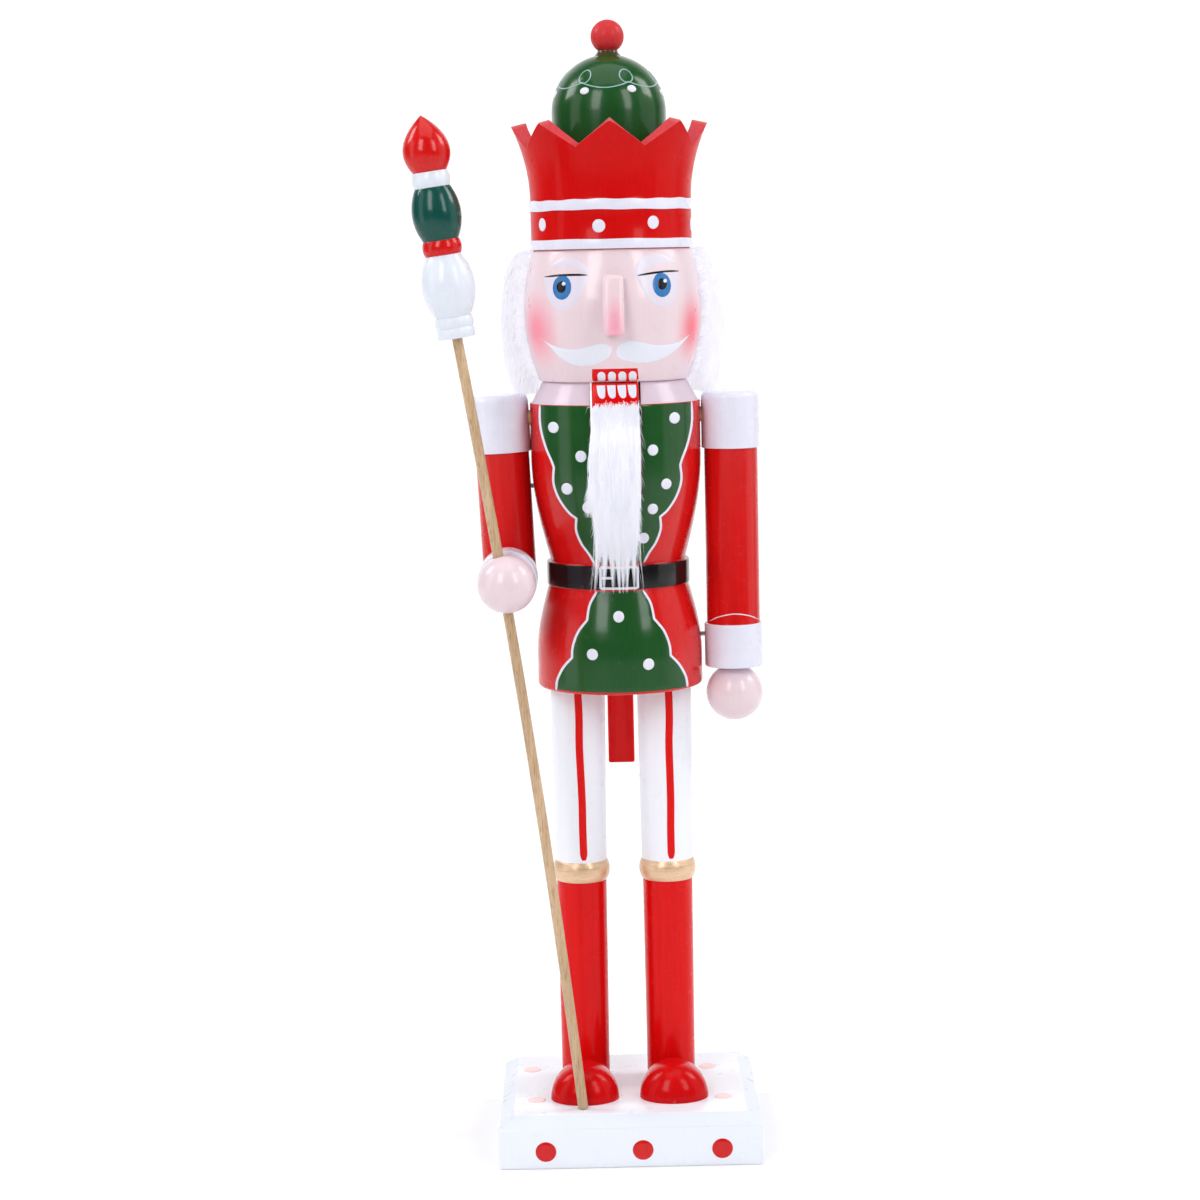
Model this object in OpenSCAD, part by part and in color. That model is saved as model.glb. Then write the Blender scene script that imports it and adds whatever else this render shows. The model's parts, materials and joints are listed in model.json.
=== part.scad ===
// Turned wooden nutcracker figure: a crowned guard with a lever-worked jaw, a fur beard and a long staff.
// Millimetres, +Z up. The figure faces -Y and the origin is the centre of the base's underside.

/* [Base] */
// Width of the base board
base_w = 139; // [128:1:180]
// Depth of the base board, front to back
base_d = 125; // [122:1:160]
// Thickness of the base board
base_h = 27; // [20:1:32]
// Run of the bevel around the top of the base
bevel_run = 8; // [2:0.5:10]
// Drop of the bevel around the top of the base
bevel_drop = 5.5; // [2:0.5:8]
// Distance from the base's centre back to the figure's own axis
figure_y = 7.5; // [5:0.5:9]

/* [Legs and feet] */
// Length of a leg, base to skirt
leg_h = 220.5; // [190:0.5:250]
// Distance from the figure's axis to the middle of a leg
leg_x = 23.4; // [21:0.1:25]
// Radius at the top of the trousers
trouser_r = 14.7; // [13:0.1:16]
// Radius of the bead at the knee
knee_r = 15.4; // [15.4:0.1:17]
// Height of the bead's lower edge above the base
knee_z = 113.2; // [90:0.1:130]
// Height of the bead at the knee
knee_h = 11.1; // [8:0.1:14]
// Radius of the boot at the base
boot_r = 13; // [12:0.1:13.5]
// Half width and height of a foot
foot_r = 18.4; // [16:0.1:20]
// How far a toe stands in front of the figure's axis
toe_y = 48; // [42:0.5:50]

/* [Torso] */
// Height of the torso, skirt to the top of the collar
torso_h = 164; // [150:0.5:180]
// Radius of the skirt
skirt_r = 44.3; // [43:0.1:45]
// Radius under the belt
waist_r = 36; // [34:0.1:38]
// Radius of the belt
belt_r = 38.3; // [38.1:0.1:40]
// Width of the belt
belt_h = 12.6; // [10:0.1:15]
// Height of the belt's lower edge above the skirt's edge
belt_z = 55.2; // [50:0.1:60]
// Radius of the chest
chest_r = 45.4; // [44:0.1:45.5]
// Height of the sloping collar
collar_h = 11.5; // [8:0.1:12]

/* [Jaw] */
// Width of the jaw block
jaw_w = 24.3; // [20:0.1:25]
// Width of the lever behind the jaw
lever_w = 14.6; // [12:0.1:15]
// Clearance on each side of the jaw and its lever
jaw_gap = 1.1; // [0.9:0.1:1.8]
// Height of the pivot below the top of the torso
pivot_drop = 31.5; // [30:0.1:33]
// Length of the lever below the pivot
lever_drop = 185; // [150:1:190]
// Radius of the pivot pin
pin_r = 2; // [1.5:0.1:2.5]
// Radial clearance of the lever on its pin
pin_play = 0.05; // [0.02:0.01:0.08]

/* [Head and crown] */
// Height of the head
head_h = 69; // [60:0.5:75]
// Radius at the chin
chin_r = 39.7; // [38:0.1:41]
// Radius under the crown
brow_r = 41.6; // [40:0.1:42]
// How far the cheeks swell beyond a straight line from chin to brow
cheek_swell = 6.7; // [4:0.1:7]
// Radius of the crown's band
crown_r = 42.6; // [42:0.1:44]
// Height of the crown, tips included
crown_h = 65.3; // [60:0.1:72]
// Radius at the tips of the crown
crown_tip_r = 52; // [50:0.5:55]
// Number of points on the crown
crown_points = 8; // [6:1:10]
// Depth of the notches between the points
notch_h = 13.9; // [10:0.1:16]
// Radius of the dome inside the crown
dome_r = 30.2; // [26:0.1:32]
// Height of the dome's centre above the head
dome_z = 71.2; // [68:0.1:75]
// Radius of the knob
knob_r = 8.8; // [7:0.1:10]
// Height of the knob's centre above the dome's centre
knob_rise = 39.5; // [39:0.1:45]

/* [Arms] */
// Distance from the figure's axis to the middle of an arm
arm_x = 61.5; // [61.5:0.1:64]
// Radius of a sleeve
sleeve_r = 14.3; // [13:0.1:14.6]
// Radius of an epaulette and a cuff
cuff_r = 15.6; // [15:0.1:15.7]
// Height of an epaulette
epaulette_h = 30.5; // [25:0.5:35]
// Height of the lower edge of the straight arm above the base
arm_bottom = 229; // [225:0.5:240]
// Length of a cuff
cuff_h = 23.5; // [18:0.5:26]
// Radius of a hand
hand_r = 15.2; // [14:0.1:15.6]
// Height of the raised forearm's axis above the base
forearm_z = 282.7; // [275:0.1:290]
// How far the raised hand stands in front of the figure's axis
grip_y = 61; // [58:0.5:64]
// Inward lean of the bent arm from its shoulder, in degrees
arm_tilt = 2.3; // [0:0.1:2.5]

/* [Staff] */
// Radius of the staff's rod
rod_r = 2.7; // [2.5:0.1:3]
// Radial clearance of the rod in the raised hand
rod_play = 0.08; // [0.03:0.01:0.1]
// Sideways place of the staff's foot on the base
staff_foot_x = -25; // [-28:0.5:-22]
// How far the staff's foot stands in front of the figure's axis
staff_foot_y = 53; // [52.5:0.5:54]
// Sideways place of the staff in the hand
staff_grip_x = -63; // [-65:0.1:-60]
// Length of the rod that shows below the finial
rod_l = 413.5; // [380:0.5:440]
// Length of the finial
finial_l = 113; // [100:0.5:130]

/* [Fur] */
// Length of the beard
beard_l = 98; // [60:1:98]
// Width of the beard half way down
beard_w = 26.5; // [20:0.5:27]
// Depth of the beard
beard_d = 9.5; // [5:0.5:12]
// How far the hair stands out beside the head
hair_d = 16; // [8:0.5:18]

/* [Hidden] */
$fn = 64;
glue = 0.05;                 // gap left for glue around a dowel
skin_gap = 0.3;              // gap between fur and what it lies on
through = 1;                 // how far a cut runs past a face
dowel_r = 4;
dowel_l = 34;
curve_steps = 10;            // straight facets along a turned curve

leg_top = base_h + leg_h;
torso_top = leg_top + torso_h;
head_top = torso_top + head_h;
crown_top = head_top + crown_h;

boot_taper = 0.5;            // a boot widens by this much up to the knee
trouser_taper = 0.8;         // and a trouser leg by this much up to the skirt
knee_swell = 1.5;
toe_to_widest = 15;
widest_to_heel = 38;
heel_a = 50;                 // the egg of a foot is cut off at this angle behind its widest place
foot_out = 0.6;              // a foot stands this much further out than its boot

hem_r = 2;
skirt_wall = 17;             // height over which the skirt stands upright
waist_step = 1.4;            // the skirt's top is this much wider than the waist above the belt
chest_rise = 56;             // height over which the chest fills out
collar_step = 1;
collar_run = 7.3;            // how far the collar slopes in
nail_r = 1.2;
nail_l = 16;
left_nail_z = leg_top + 26;
right_nail_z = leg_top + 108;

pivot_y = -2;                // the pivot stands just in front of the figure's axis
pivot_z = torso_top - pivot_drop;
jaw_front = chest_r + 0.3;   // jaw and beard stand just in front of the chest
jaw_back = 14;
jaw_lap = 4;                 // depth of the jaw block below the pivot
jaw_stop = 0.4;              // the shut jaw rests this far under the head
beard_top = torso_top - collar_h - 1;
// The outside of the hair, as [distance from its widest, height above its lower edge]
hair_profile = [[-8, 0], [-4, 16], [1, 46], [-2, 58]];
hair_drop = 5;               // the hair hangs this far below the head
hair_front = 4;              // and starts this far in front of the figure's axis
jaw_lip = 3.7;               // the lip slopes back by this much to meet the head
jaw_dowel_r = 2.5;
jaw_dowel_l = 16;
jaw_dowel_z = pivot_z + 12;
slot_floor = pivot_z - 27;
tail_y = chest_r + 1.6;      // the lever's tail hangs just behind the torso
tail_t = 9;
boss_r = 10;
// The lever's upper edge over the pivot, and its shoulder over the tail, as [depth, height above the pivot]
lever_neck = [[0, 20], [9, 14]];
lever_shoulder = [[-2, -3], [4, -6], [tail_t, -13]];
lever_crook = [2, 24];       // the lower edge starts at this depth, and meets the tail this far down
pin_inset = 2;               // the pin ends this far inside the chest

nose_w = 11;
nose_h = 31;
nose_z = torso_top + 24.5;
nose_root = 38;
nose_bridge = 51;
nose_tip = 58;
nose_lip = 4.5;              // height of the nose's upright front edge
neck_dowel_x = 25;
neck_dowel_y = 10;
neck_dowel_l = 30;

band_proud = 0.6;            // the crown's two bands stand out by this much
low_band_h = 5;
high_band_z = head_top + 20;
flare_z = head_top + 25.5;
flare_power = 2;
crown_wall = 8.5;
crown_floor = head_top + 39.5;
notch_slope = 11;            // the notches and the ridges between them rise inwards at this angle
notch_depth = 1.4 * crown_wall;
notch_reach = 1.15;          // the notch cutters reach above the ridges by this share
ridge_rise = crown_wall * tan(notch_slope) + through;
bowl_gap = 6;                // gap between the dome and the crown around it
crown_dowel_r = 5;
crown_dowel_l = 110;
dome_mid = head_top + dome_z;
knob_mid = dome_mid + knob_rise;
neck_foot_r = 7.3;
neck_top_r = 5.2;
neck_foot = dome_mid + sqrt(dome_r * dome_r - neck_foot_r * neck_foot_r);
neck_top = knob_mid - sqrt(knob_r * knob_r - neck_top_r * neck_top_r);
knob_tenon_l = 12;
knob_tenon_r = 2.5;

shoulder_z = torso_top - 19.5;
shoulder_dowel_l = 30;
arm_top = torso_top - 7.1;
epaulette_edge = 4;
forearm_mid = base_h + forearm_z;
elbow_dowel_l = 26;
grip_dowel_l = 14;
hand_lap = 0.6;              // a hand is flattened by this much where it meets its cuff
grip_dowel_y = hand_r - hand_lap - grip_y;  // depth of the joint between the forearm and the hand
front_cuff_h = cuff_h - 4;

screw_l = 60;
screw_r = 2;
screw_head_r = 4.2;
screw_rim_h = 0.8;
screw_head_h = 3.5;
screw_sink = 1;

staff_foot = [staff_foot_x, -staff_foot_y, base_h + 0.4];
staff_grip = [staff_grip_x, -grip_y, forearm_mid];
staff_dir = (staff_grip - staff_foot) / norm(staff_grip - staff_foot);
rod_tenon = 24;
// The finial's turned sections, bottom to top: radius at both ends, swell, and top as a share of its length
finial_sections = [
    [9.2, 0.6, 0.047], [9.3, 0.6, 0.095], [8.9, 4.8, 0.375],
    [9.2, 0.9, 0.442], [9.1, 3.5, 0.679], [9, 0.9, 0.749]
];
bud_r = 12.1;
bud_foot_r = 8.6;
bud_wide = 0.35;             // the bud is widest this share of the way up

// ---------- shared shapes ----------

// Points of a swelling line from p to q, which stands off its chord by swell at mid length
function swell_line(p, q, swell) = [
    for (i = [0 : curve_steps])
        let (t = i / curve_steps)
            p + (q - p) * t + [4 * swell * t * (1 - t), 0]
];

// Points of a quarter-round corner from angle a to angle b
function corner(mid, r, a, b) = [
    for (i = [0 : curve_steps])
        let (t = a + (b - a) * i / curve_steps)
            mid + r * [cos(t), sin(t)]
];

// A solid turned on the Z axis from an outline of [radius, height] points
module turned(outline) {
    rotate_extrude() polygon(concat(outline, [[0, outline[len(outline) - 1][1]], [0, outline[0][1]]]));
}

// Everything above the base stands on the figure's own axis
module on_figure() {
    translate([0, figure_y, 0]) children();
}

// Stands its children, drawn along +Z from the origin, at a point and along a direction
module aim(point, dir) {
    translate(point) rotate([0, acos(dir[2]), atan2(dir[1], dir[0])]) children();
}

// A prism across the figure, from an outline of [depth, height] points
module across(outline, width) {
    rotate([90, 0, 90]) linear_extrude(width, center = true) polygon(outline);
}

// An upright dowel, or the hole for one when fit is the glue gap
module dowel(length, r = dowel_r, fit = 0) {
    cylinder(h = length + 2 * fit, r = r + fit, center = true);
}

// ---------- base, legs and feet ----------

function board_side(width) = [
    [-width / 2, 0], [width / 2, 0],
    [width / 2, base_h - bevel_drop], [width / 2 - bevel_run, base_h],
    [bevel_run - width / 2, base_h], [-width / 2, base_h - bevel_drop]
];

module base() {
    color("ghostwhite")
        difference() {
            intersection() {
                rotate([90, 0, 0]) linear_extrude(base_d, center = true) polygon(board_side(base_w));
                across(board_side(base_d), base_w);
            }
            on_figure() for (side = [-1, 1]) translate([side * leg_x, 0, 0]) screw_hole();
        }
}

// A countersunk wood screw driven upward from the underside of the base, its head sunk in a counterbore
module screw() {
    turned([
        [screw_head_r, screw_sink], [screw_head_r, screw_sink + screw_rim_h],
        [screw_r, screw_sink + screw_head_h], [screw_r, screw_l]
    ]);
}

module screw_hole() {
    turned([
        [screw_head_r + glue, -through], [screw_head_r + glue, screw_sink + screw_rim_h],
        [screw_r + glue, screw_sink + screw_head_h], [screw_r + glue, screw_l + through]
    ]);
}

module leg_screws() {
    color("silver") on_figure() for (side = [-1, 1]) translate([side * leg_x, 0, 0]) screw();
}

// One turning makes a boot, the bead at the knee and a trouser leg
module leg(side) {
    bead_z = base_h + knee_z;
    bead_foot = knee_r - knee_swell;
    outline = concat(
        [[boot_r, base_h], [boot_r + boot_taper, bead_z]],
        swell_line([bead_foot, bead_z], [bead_foot, bead_z + knee_h], knee_swell),
        [[trouser_r - trouser_taper, bead_z + knee_h], [trouser_r, leg_top]]
    );
    difference() {
        translate([side * leg_x, 0, 0]) turned(outline);
        translate([side * leg_x, 0, leg_top]) dowel(dowel_l, fit = glue);
        translate([side * leg_x, 0, 0]) screw_hole();
    }
}

module left_leg() { color("firebrick") on_figure() leg(1); }

module right_leg() { color("firebrick") on_figure() leg(-1); }

// Half of a turned egg, scooped at the back to fit around the boot
module foot(side) {
    egg = concat(
        [for (i = [0 : curve_steps])
            let (a = 90 * i / curve_steps) [foot_r * sin(a), -toe_to_widest * cos(a)]],
        [for (i = [1 : curve_steps])
            let (a = heel_a * i / curve_steps) [foot_r * cos(a), widest_to_heel * sin(a)]]
    );
    intersection() {
        difference() {
            translate([side * (leg_x + foot_out), toe_to_widest - toe_y, base_h])
                rotate([-90, 0, 0]) turned(egg);
            translate([side * leg_x, 0, 0]) cylinder(h = leg_top, r = boot_r + boot_taper + glue);
        }
        translate([0, 0, base_h + leg_top]) cube([base_w, 2 * base_d, 2 * leg_top], center = true);
    }
}

module left_foot() { color("crimson") on_figure() foot(1); }

module right_foot() { color("crimson") on_figure() foot(-1); }

module leg_dowels() {
    color("burlywood") on_figure()
        for (side = [-1, 1]) translate([side * leg_x, 0, leg_top]) dowel(dowel_l);
}

// ---------- torso ----------

torso_outline = concat(
    corner([skirt_r - hem_r, leg_top + hem_r], hem_r, -90, 0),
    [for (i = [0 : curve_steps])
        let (t = i / curve_steps)
            [skirt_r - (skirt_r - waist_r - waist_step) * (1 - cos(90 * t)),
             leg_top + skirt_wall + t * (belt_z - skirt_wall)]],
    [[belt_r, leg_top + belt_z], [belt_r, leg_top + belt_z + belt_h]],
    [for (i = [0 : curve_steps])
        let (t = i / curve_steps)
            [waist_r + (chest_r - waist_r) * sin(90 * t), leg_top + belt_z + belt_h + t * chest_rise]],
    [[chest_r, torso_top - collar_h], [chest_r - collar_step, torso_top - collar_h],
     [chest_r - collar_run, torso_top]]
);

module torso() {
    slot_w = jaw_w + 2 * jaw_gap;
    color("crimson") on_figure()
        difference() {
            turned(torso_outline);
            translate([-slot_w / 2, -base_d, slot_floor]) cube([slot_w, 2 * base_d, torso_h]);
            for (side = [-1, 1]) {
                translate([side * leg_x, 0, leg_top]) dowel(dowel_l, fit = glue);
                translate([side * neck_dowel_x, neck_dowel_y, torso_top]) dowel(neck_dowel_l, fit = glue);
                shoulder_dowel(side, glue);
                arm_pin(side, glue);
            }
            translate([0, pivot_y, pivot_z]) rotate([0, 90, 0])
                cylinder(h = 4 * chest_r, r = pin_r, center = true);
        }
}

module neck_dowels() {
    color("burlywood") on_figure()
        for (side = [-1, 1]) translate([side * neck_dowel_x, neck_dowel_y, torso_top]) dowel(neck_dowel_l);
}

module shoulder_dowel(side, fit = 0) {
    translate([side * (arm_x - shoulder_dowel_l / 2), 0, shoulder_z]) rotate([0, 90, 0])
        dowel(shoulder_dowel_l, fit = fit);
}

module shoulder_dowels() {
    color("burlywood") on_figure() for (side = [-1, 1]) shoulder_dowel(side);
}

// A headless nail that holds each arm off the body below the shoulder
module arm_pin(side, fit = 0) {
    translate([side * (arm_x - nail_l), 0, side > 0 ? left_nail_z : right_nail_z]) rotate([0, 90, 0])
        dowel(nail_l, nail_r, fit);
}

module arm_pins() {
    color("silver") on_figure() for (side = [-1, 1]) arm_pin(side);
}

// ---------- jaw ----------

module jaw_block() {
    outline = [
        [jaw_lip - jaw_front, torso_top - jaw_stop], [-jaw_front, beard_top],
        [-jaw_front, pivot_z - jaw_lap], [-jaw_back, pivot_z - jaw_lap], [-jaw_back, torso_top - jaw_stop]
    ];
    color("red") on_figure()
        difference() {
            across(outline, jaw_w);
            jaw_dowel_shape(glue);
        }
}

module jaw_dowel_shape(fit = 0) {
    translate([0, -jaw_back, jaw_dowel_z]) rotate([90, 0, 0]) dowel(jaw_dowel_l, jaw_dowel_r, fit);
}

module jaw_dowel() { color("burlywood") on_figure() jaw_dowel_shape(); }

// One board: it meets the jaw block, turns on the pin, runs out behind and hangs down as a tail
module jaw_lever() {
    outline = concat(
        [[-jaw_back, pivot_z - jaw_lap]],
        [for (p = lever_neck) p + [-jaw_back, pivot_z]],
        [for (p = lever_shoulder) p + [tail_y, pivot_z]],
        [[tail_y + tail_t, pivot_z - lever_drop], [tail_y, pivot_z - lever_drop]],
        [[tail_y, pivot_z - lever_crook[1]], [lever_crook[0], pivot_z - boss_r]]
    );
    color("red") on_figure()
        difference() {
            across(outline, lever_w);
            jaw_dowel_shape(glue);
            translate([0, pivot_y, pivot_z]) rotate([0, 90, 0])
                cylinder(h = 2 * lever_w, r = pin_r + pin_play, center = true);
        }
}

module jaw_pin() {
    color("silver") on_figure() translate([0, pivot_y, pivot_z]) rotate([0, 90, 0])
        cylinder(h = 2 * (chest_r - pin_inset), r = pin_r, center = true);
}

// Fur hangs from the front of the jaw, clear of the chest
module beard() {
    back = jaw_front + skin_gap;
    side = [
        [-back, beard_top], [-back - 0.4 * beard_d, beard_top], [-back - beard_d, beard_top - 0.25 * beard_l],
        [-back - 0.8 * beard_d, beard_top - 0.75 * beard_l], [-back - 0.2 * beard_d, beard_top - beard_l],
        [-back, beard_top - beard_l]
    ];
    half_front = [[0.42, 0], [0.5, 0.3], [0.45, 0.7], [0.33, 1]];  // in shares of the width and the length
    front = concat(
        [for (p = half_front) [p[0] * beard_w, beard_top - p[1] * beard_l]],
        [for (i = [len(half_front) - 1 : -1 : 0])
            [-half_front[i][0] * beard_w, beard_top - half_front[i][1] * beard_l]]
    );
    color("snow") on_figure()
        intersection() {
            across(side, 2 * beard_w);
            rotate([90, 0, 0]) linear_extrude(4 * base_d, center = true) polygon(front);
        }
}

// ---------- head ----------

function head_side(gap) = swell_line([chin_r + gap, torso_top], [brow_r + gap, head_top], cheek_swell);

// The nose is a wedge, deeper at its lower end
module nose_shape(fit = 0) {
    outline = [
        [-nose_root, nose_z - fit], [-nose_tip, nose_z - fit], [-nose_tip, nose_z + nose_lip],
        [-nose_bridge, nose_z + nose_h + fit], [-nose_root, nose_z + nose_h + fit]
    ];
    across(outline, nose_w + 2 * fit);
}

module nose() { color("pink") on_figure() nose_shape(); }

module head() {
    color("mistyrose") on_figure()
        difference() {
            turned(head_side(0));
            nose_shape(glue);
            translate([0, 0, head_top]) dowel(crown_dowel_l, crown_dowel_r, glue);
            for (side = [-1, 1])
                translate([side * neck_dowel_x, neck_dowel_y, torso_top]) dowel(neck_dowel_l, fit = glue);
        }
}

// A fur strip around the back of the head, from ear to ear
module hair() {
    foot = torso_top - hair_drop;
    outer = chin_r + cheek_swell + hair_d;
    outline = concat(
        [[chest_r + 1, foot]],
        [for (p = hair_profile) p + [outer, foot]],
        [[brow_r + hair_d / 2, head_top - 2], [brow_r + 2, head_top - 1]],
        [for (i = [curve_steps - 1 : -1 : 1]) head_side(skin_gap)[i]],
        [[chest_r - 0.5, torso_top - 0.5]]
    );
    color("snow") on_figure()
        difference() {
            rotate_extrude() polygon(outline);
            translate([0, -base_d - hair_front, torso_top])
                cube([2 * base_w, 2 * base_d, 2 * torso_h], center = true);
        }
}

// ---------- crown, dome and knob ----------

// Two raised bands circle the crown below its flare
module crown() {
    flare_h = crown_top - flare_z;
    outline = concat(
        [[0, head_top], [crown_r + band_proud, head_top], [crown_r + band_proud, head_top + low_band_h],
         [crown_r, head_top + low_band_h], [crown_r, high_band_z], [crown_r + band_proud, high_band_z],
         [crown_r + band_proud, flare_z], [crown_r, flare_z]],
        [for (i = [1 : curve_steps])
            let (t = i / curve_steps)
                [crown_r + (crown_tip_r - crown_r) * pow(t, flare_power), flare_z + flare_h * t]],
        [[crown_tip_r - crown_wall, crown_top + ridge_rise],
         [dome_r + bowl_gap, crown_floor], [0, crown_floor]]
    );
    color("red") on_figure()
        difference() {
            rotate_extrude() polygon(outline);
            for (i = [0 : crown_points - 1]) rotate(360 * (i + 0.5) / crown_points) crown_notch();
            translate([0, 0, head_top]) dowel(crown_dowel_l, crown_dowel_r, glue);
        }
}

// A V across the wall that narrows inwards, so the points keep their width and their ridges rise
module crown_notch() {
    points = [
        for (r = [crown_tip_r / cos(180 / crown_points), crown_tip_r - notch_depth], side = [0, 1, -1])
            let (a = side * 180 / crown_points)
                [r * cos(a), notch_reach * r * sin(a), crown_top - notch_h
                 + (crown_tip_r - r) * tan(notch_slope) + abs(side) * notch_reach * notch_h]
    ];
    polyhedron(points, [[0, 2, 1], [3, 4, 5], [0, 1, 4], [0, 4, 3], [0, 3, 5], [0, 5, 2], [1, 2, 5, 4]]);
}

module crown_dowel() {
    color("burlywood") on_figure() translate([0, 0, head_top]) dowel(crown_dowel_l, crown_dowel_r);
}

// The dome and the short neck under the knob are one turning
module dome() {
    steps = curve_steps / 2;
    neck_fillet = [
        for (i = [1 : steps])
            let (t = i / steps)
                [neck_foot_r + (neck_top_r - neck_foot_r) * sin(90 * t),
                 neck_foot + (neck_top - neck_foot) * t]
    ];
    outline = concat(
        [[dome_r, crown_floor]],
        [for (i = [0 : 2 * curve_steps])
            let (a = i / (2 * curve_steps) * acos(neck_foot_r / dome_r))
                [dome_r * cos(a), dome_mid + dome_r * sin(a)]],
        neck_fillet
    );
    color("darkgreen") on_figure()
        difference() {
            turned(outline);
            translate([0, 0, head_top]) dowel(crown_dowel_l, crown_dowel_r, glue);
            translate([0, 0, neck_top]) dowel(2 * knob_tenon_l, knob_tenon_r, glue);
        }
}

// Ball and tenon are one turning
module knob() {
    foot_a = asin((neck_top - knob_mid) / knob_r);
    color("red") on_figure()
        turned(concat(
            [[knob_tenon_r, neck_top - knob_tenon_l], [knob_tenon_r, neck_top]],
            [for (i = [0 : 2 * curve_steps])
                let (t = i / (2 * curve_steps), a = foot_a * (1 - t) + 90 * t)
                    [knob_r * cos(a), knob_mid + knob_r * sin(a)]]
        ));
}

// ---------- arms and hands ----------

// The upper end of an arm, with its rounded epaulette
function epaulette_outline() = concat(
    [[sleeve_r, arm_top - epaulette_h], [cuff_r, arm_top - epaulette_h]],
    corner([cuff_r - epaulette_edge, arm_top - epaulette_edge], epaulette_edge, 0, 90)
);

module left_arm() {
    foot = base_h + arm_bottom;
    color("red") on_figure()
        difference() {
            translate([arm_x, 0, 0])
                turned(concat(
                    [[cuff_r, foot], [cuff_r, foot + cuff_h], [sleeve_r, foot + cuff_h]],
                    epaulette_outline()
                ));
            shoulder_dowel(1, glue);
            arm_pin(1, glue);
            translate([arm_x, 0, foot]) dowel(dowel_l / 2, fit = glue);
        }
}

// A turned ball whose flat top stands at the origin
module hand_ball() {
    difference() {
        translate([0, 0, hand_lap - hand_r]) sphere(r = hand_r);
        translate([0, 0, hand_r]) cube(2 * hand_r, center = true);
    }
}

module left_hand() {
    color("mistyrose") on_figure() translate([arm_x, 0, base_h + arm_bottom])
        difference() {
            hand_ball();
            dowel(dowel_l / 2, fit = glue);
        }
}

module left_hand_dowel() {
    color("burlywood") on_figure() translate([arm_x, 0, base_h + arm_bottom]) dowel(dowel_l / 2);
}

// The bent arm leans in from its shoulder until it meets its nail
module leaned() {
    translate([-arm_x, 0, shoulder_z]) rotate([0, -arm_tilt, 0])
        translate([arm_x, 0, -shoulder_z]) children();
}

// The upper arm and the forearm meet in a mitre through the elbow
module elbow_wedge() {
    reach = 4 * grip_y;
    translate([-arm_x, 0, forearm_mid])
        across([[-reach, reach], [reach, -reach], [reach, reach]], 4 * cuff_r);
}

module elbow_dowel_shape(fit = 0) {
    translate([-arm_x, 0, forearm_mid]) rotate([-45, 0, 0]) dowel(elbow_dowel_l, fit = fit);
}

module elbow_dowel() { color("burlywood") on_figure() leaned() elbow_dowel_shape(); }

module right_upper_arm() {
    color("red") on_figure()
        difference() {
            leaned()
                difference() {
                    intersection() {
                        translate([-arm_x, 0, 0])
                            turned(concat([[sleeve_r, forearm_mid - 2 * sleeve_r]], epaulette_outline()));
                        elbow_wedge();
                    }
                    elbow_dowel_shape(glue);
                }
            shoulder_dowel(-1, glue);
            arm_pin(-1, glue);
        }
}

module right_forearm() {
    length = 2 * sleeve_r - grip_dowel_y;
    color("red") on_figure() leaned()
        difference() {
            translate([-arm_x, 2 * sleeve_r, forearm_mid]) rotate([90, 0, 0])
                turned([
                    [sleeve_r, 0], [sleeve_r, length - front_cuff_h], [cuff_r, length - front_cuff_h],
                    [cuff_r, length]
                ]);
            elbow_wedge();
            elbow_dowel_shape(glue);
            right_hand_dowel_shape(glue);
        }
}

module right_hand_dowel_shape(fit = 0) {
    translate([-arm_x, grip_dowel_y, forearm_mid]) rotate([90, 0, 0]) dowel(grip_dowel_l, fit = fit);
}

module right_hand_dowel() { color("burlywood") on_figure() leaned() right_hand_dowel_shape(); }

module right_hand() {
    color("mistyrose") on_figure()
        difference() {
            leaned()
                difference() {
                    translate([-arm_x, grip_dowel_y, forearm_mid]) rotate([-90, 0, 0]) hand_ball();
                    right_hand_dowel_shape(glue);
                }
            aim(staff_grip, staff_dir) cylinder(h = 4 * hand_r, r = rod_r + rod_play, center = true);
        }
}

// ---------- staff ----------

module staff_rod() {
    color("tan") on_figure() aim(staff_foot, staff_dir) cylinder(h = rod_l + rod_tenon, r = rod_r);
}

// Height of a section's lower edge
function section_foot(i) = i == 0 ? 0 : finial_sections[i - 1][2] * finial_l;

// Half width of the bud, t of the way up it
function bud_at(t) = t < bud_wide
    ? bud_r - (bud_r - bud_foot_r) * pow(1 - t / bud_wide, 2)
    : bud_r - bud_r * pow((t - bud_wide) / (1 - bud_wide), 2);

// One turning, bottom to top: two beads, an egg, a ring, a barrel, a ring and a pointed bud
module staff_finial() {
    count = len(finial_sections);
    bud_z = section_foot(count);
    sections = [
        for (i = [0 : count - 1])
            let (r = finial_sections[i][0])
                each swell_line([r, section_foot(i)], [r, section_foot(i + 1)], finial_sections[i][1])
    ];
    bud = [
        for (i = [0 : 2 * curve_steps])
            let (t = i / (2 * curve_steps)) [bud_at(t), bud_z + (finial_l - bud_z) * t]
    ];
    color("seagreen") on_figure() aim(staff_foot + rod_l * staff_dir, staff_dir)
        difference() {
            turned(concat(sections, bud));
            dowel(2 * rod_tenon, rod_r, glue);
        }
}

base();
leg_screws();
left_leg();
right_leg();
left_foot();
right_foot();
leg_dowels();
torso();
jaw_block();
jaw_dowel();
jaw_lever();
jaw_pin();
beard();
neck_dowels();
head();
nose();
hair();
crown();
crown_dowel();
dome();
knob();
shoulder_dowels();
arm_pins();
left_arm();
left_hand();
left_hand_dowel();
right_upper_arm();
elbow_dowel();
right_forearm();
right_hand();
right_hand_dowel();
staff_rod();
staff_finial();
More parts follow.
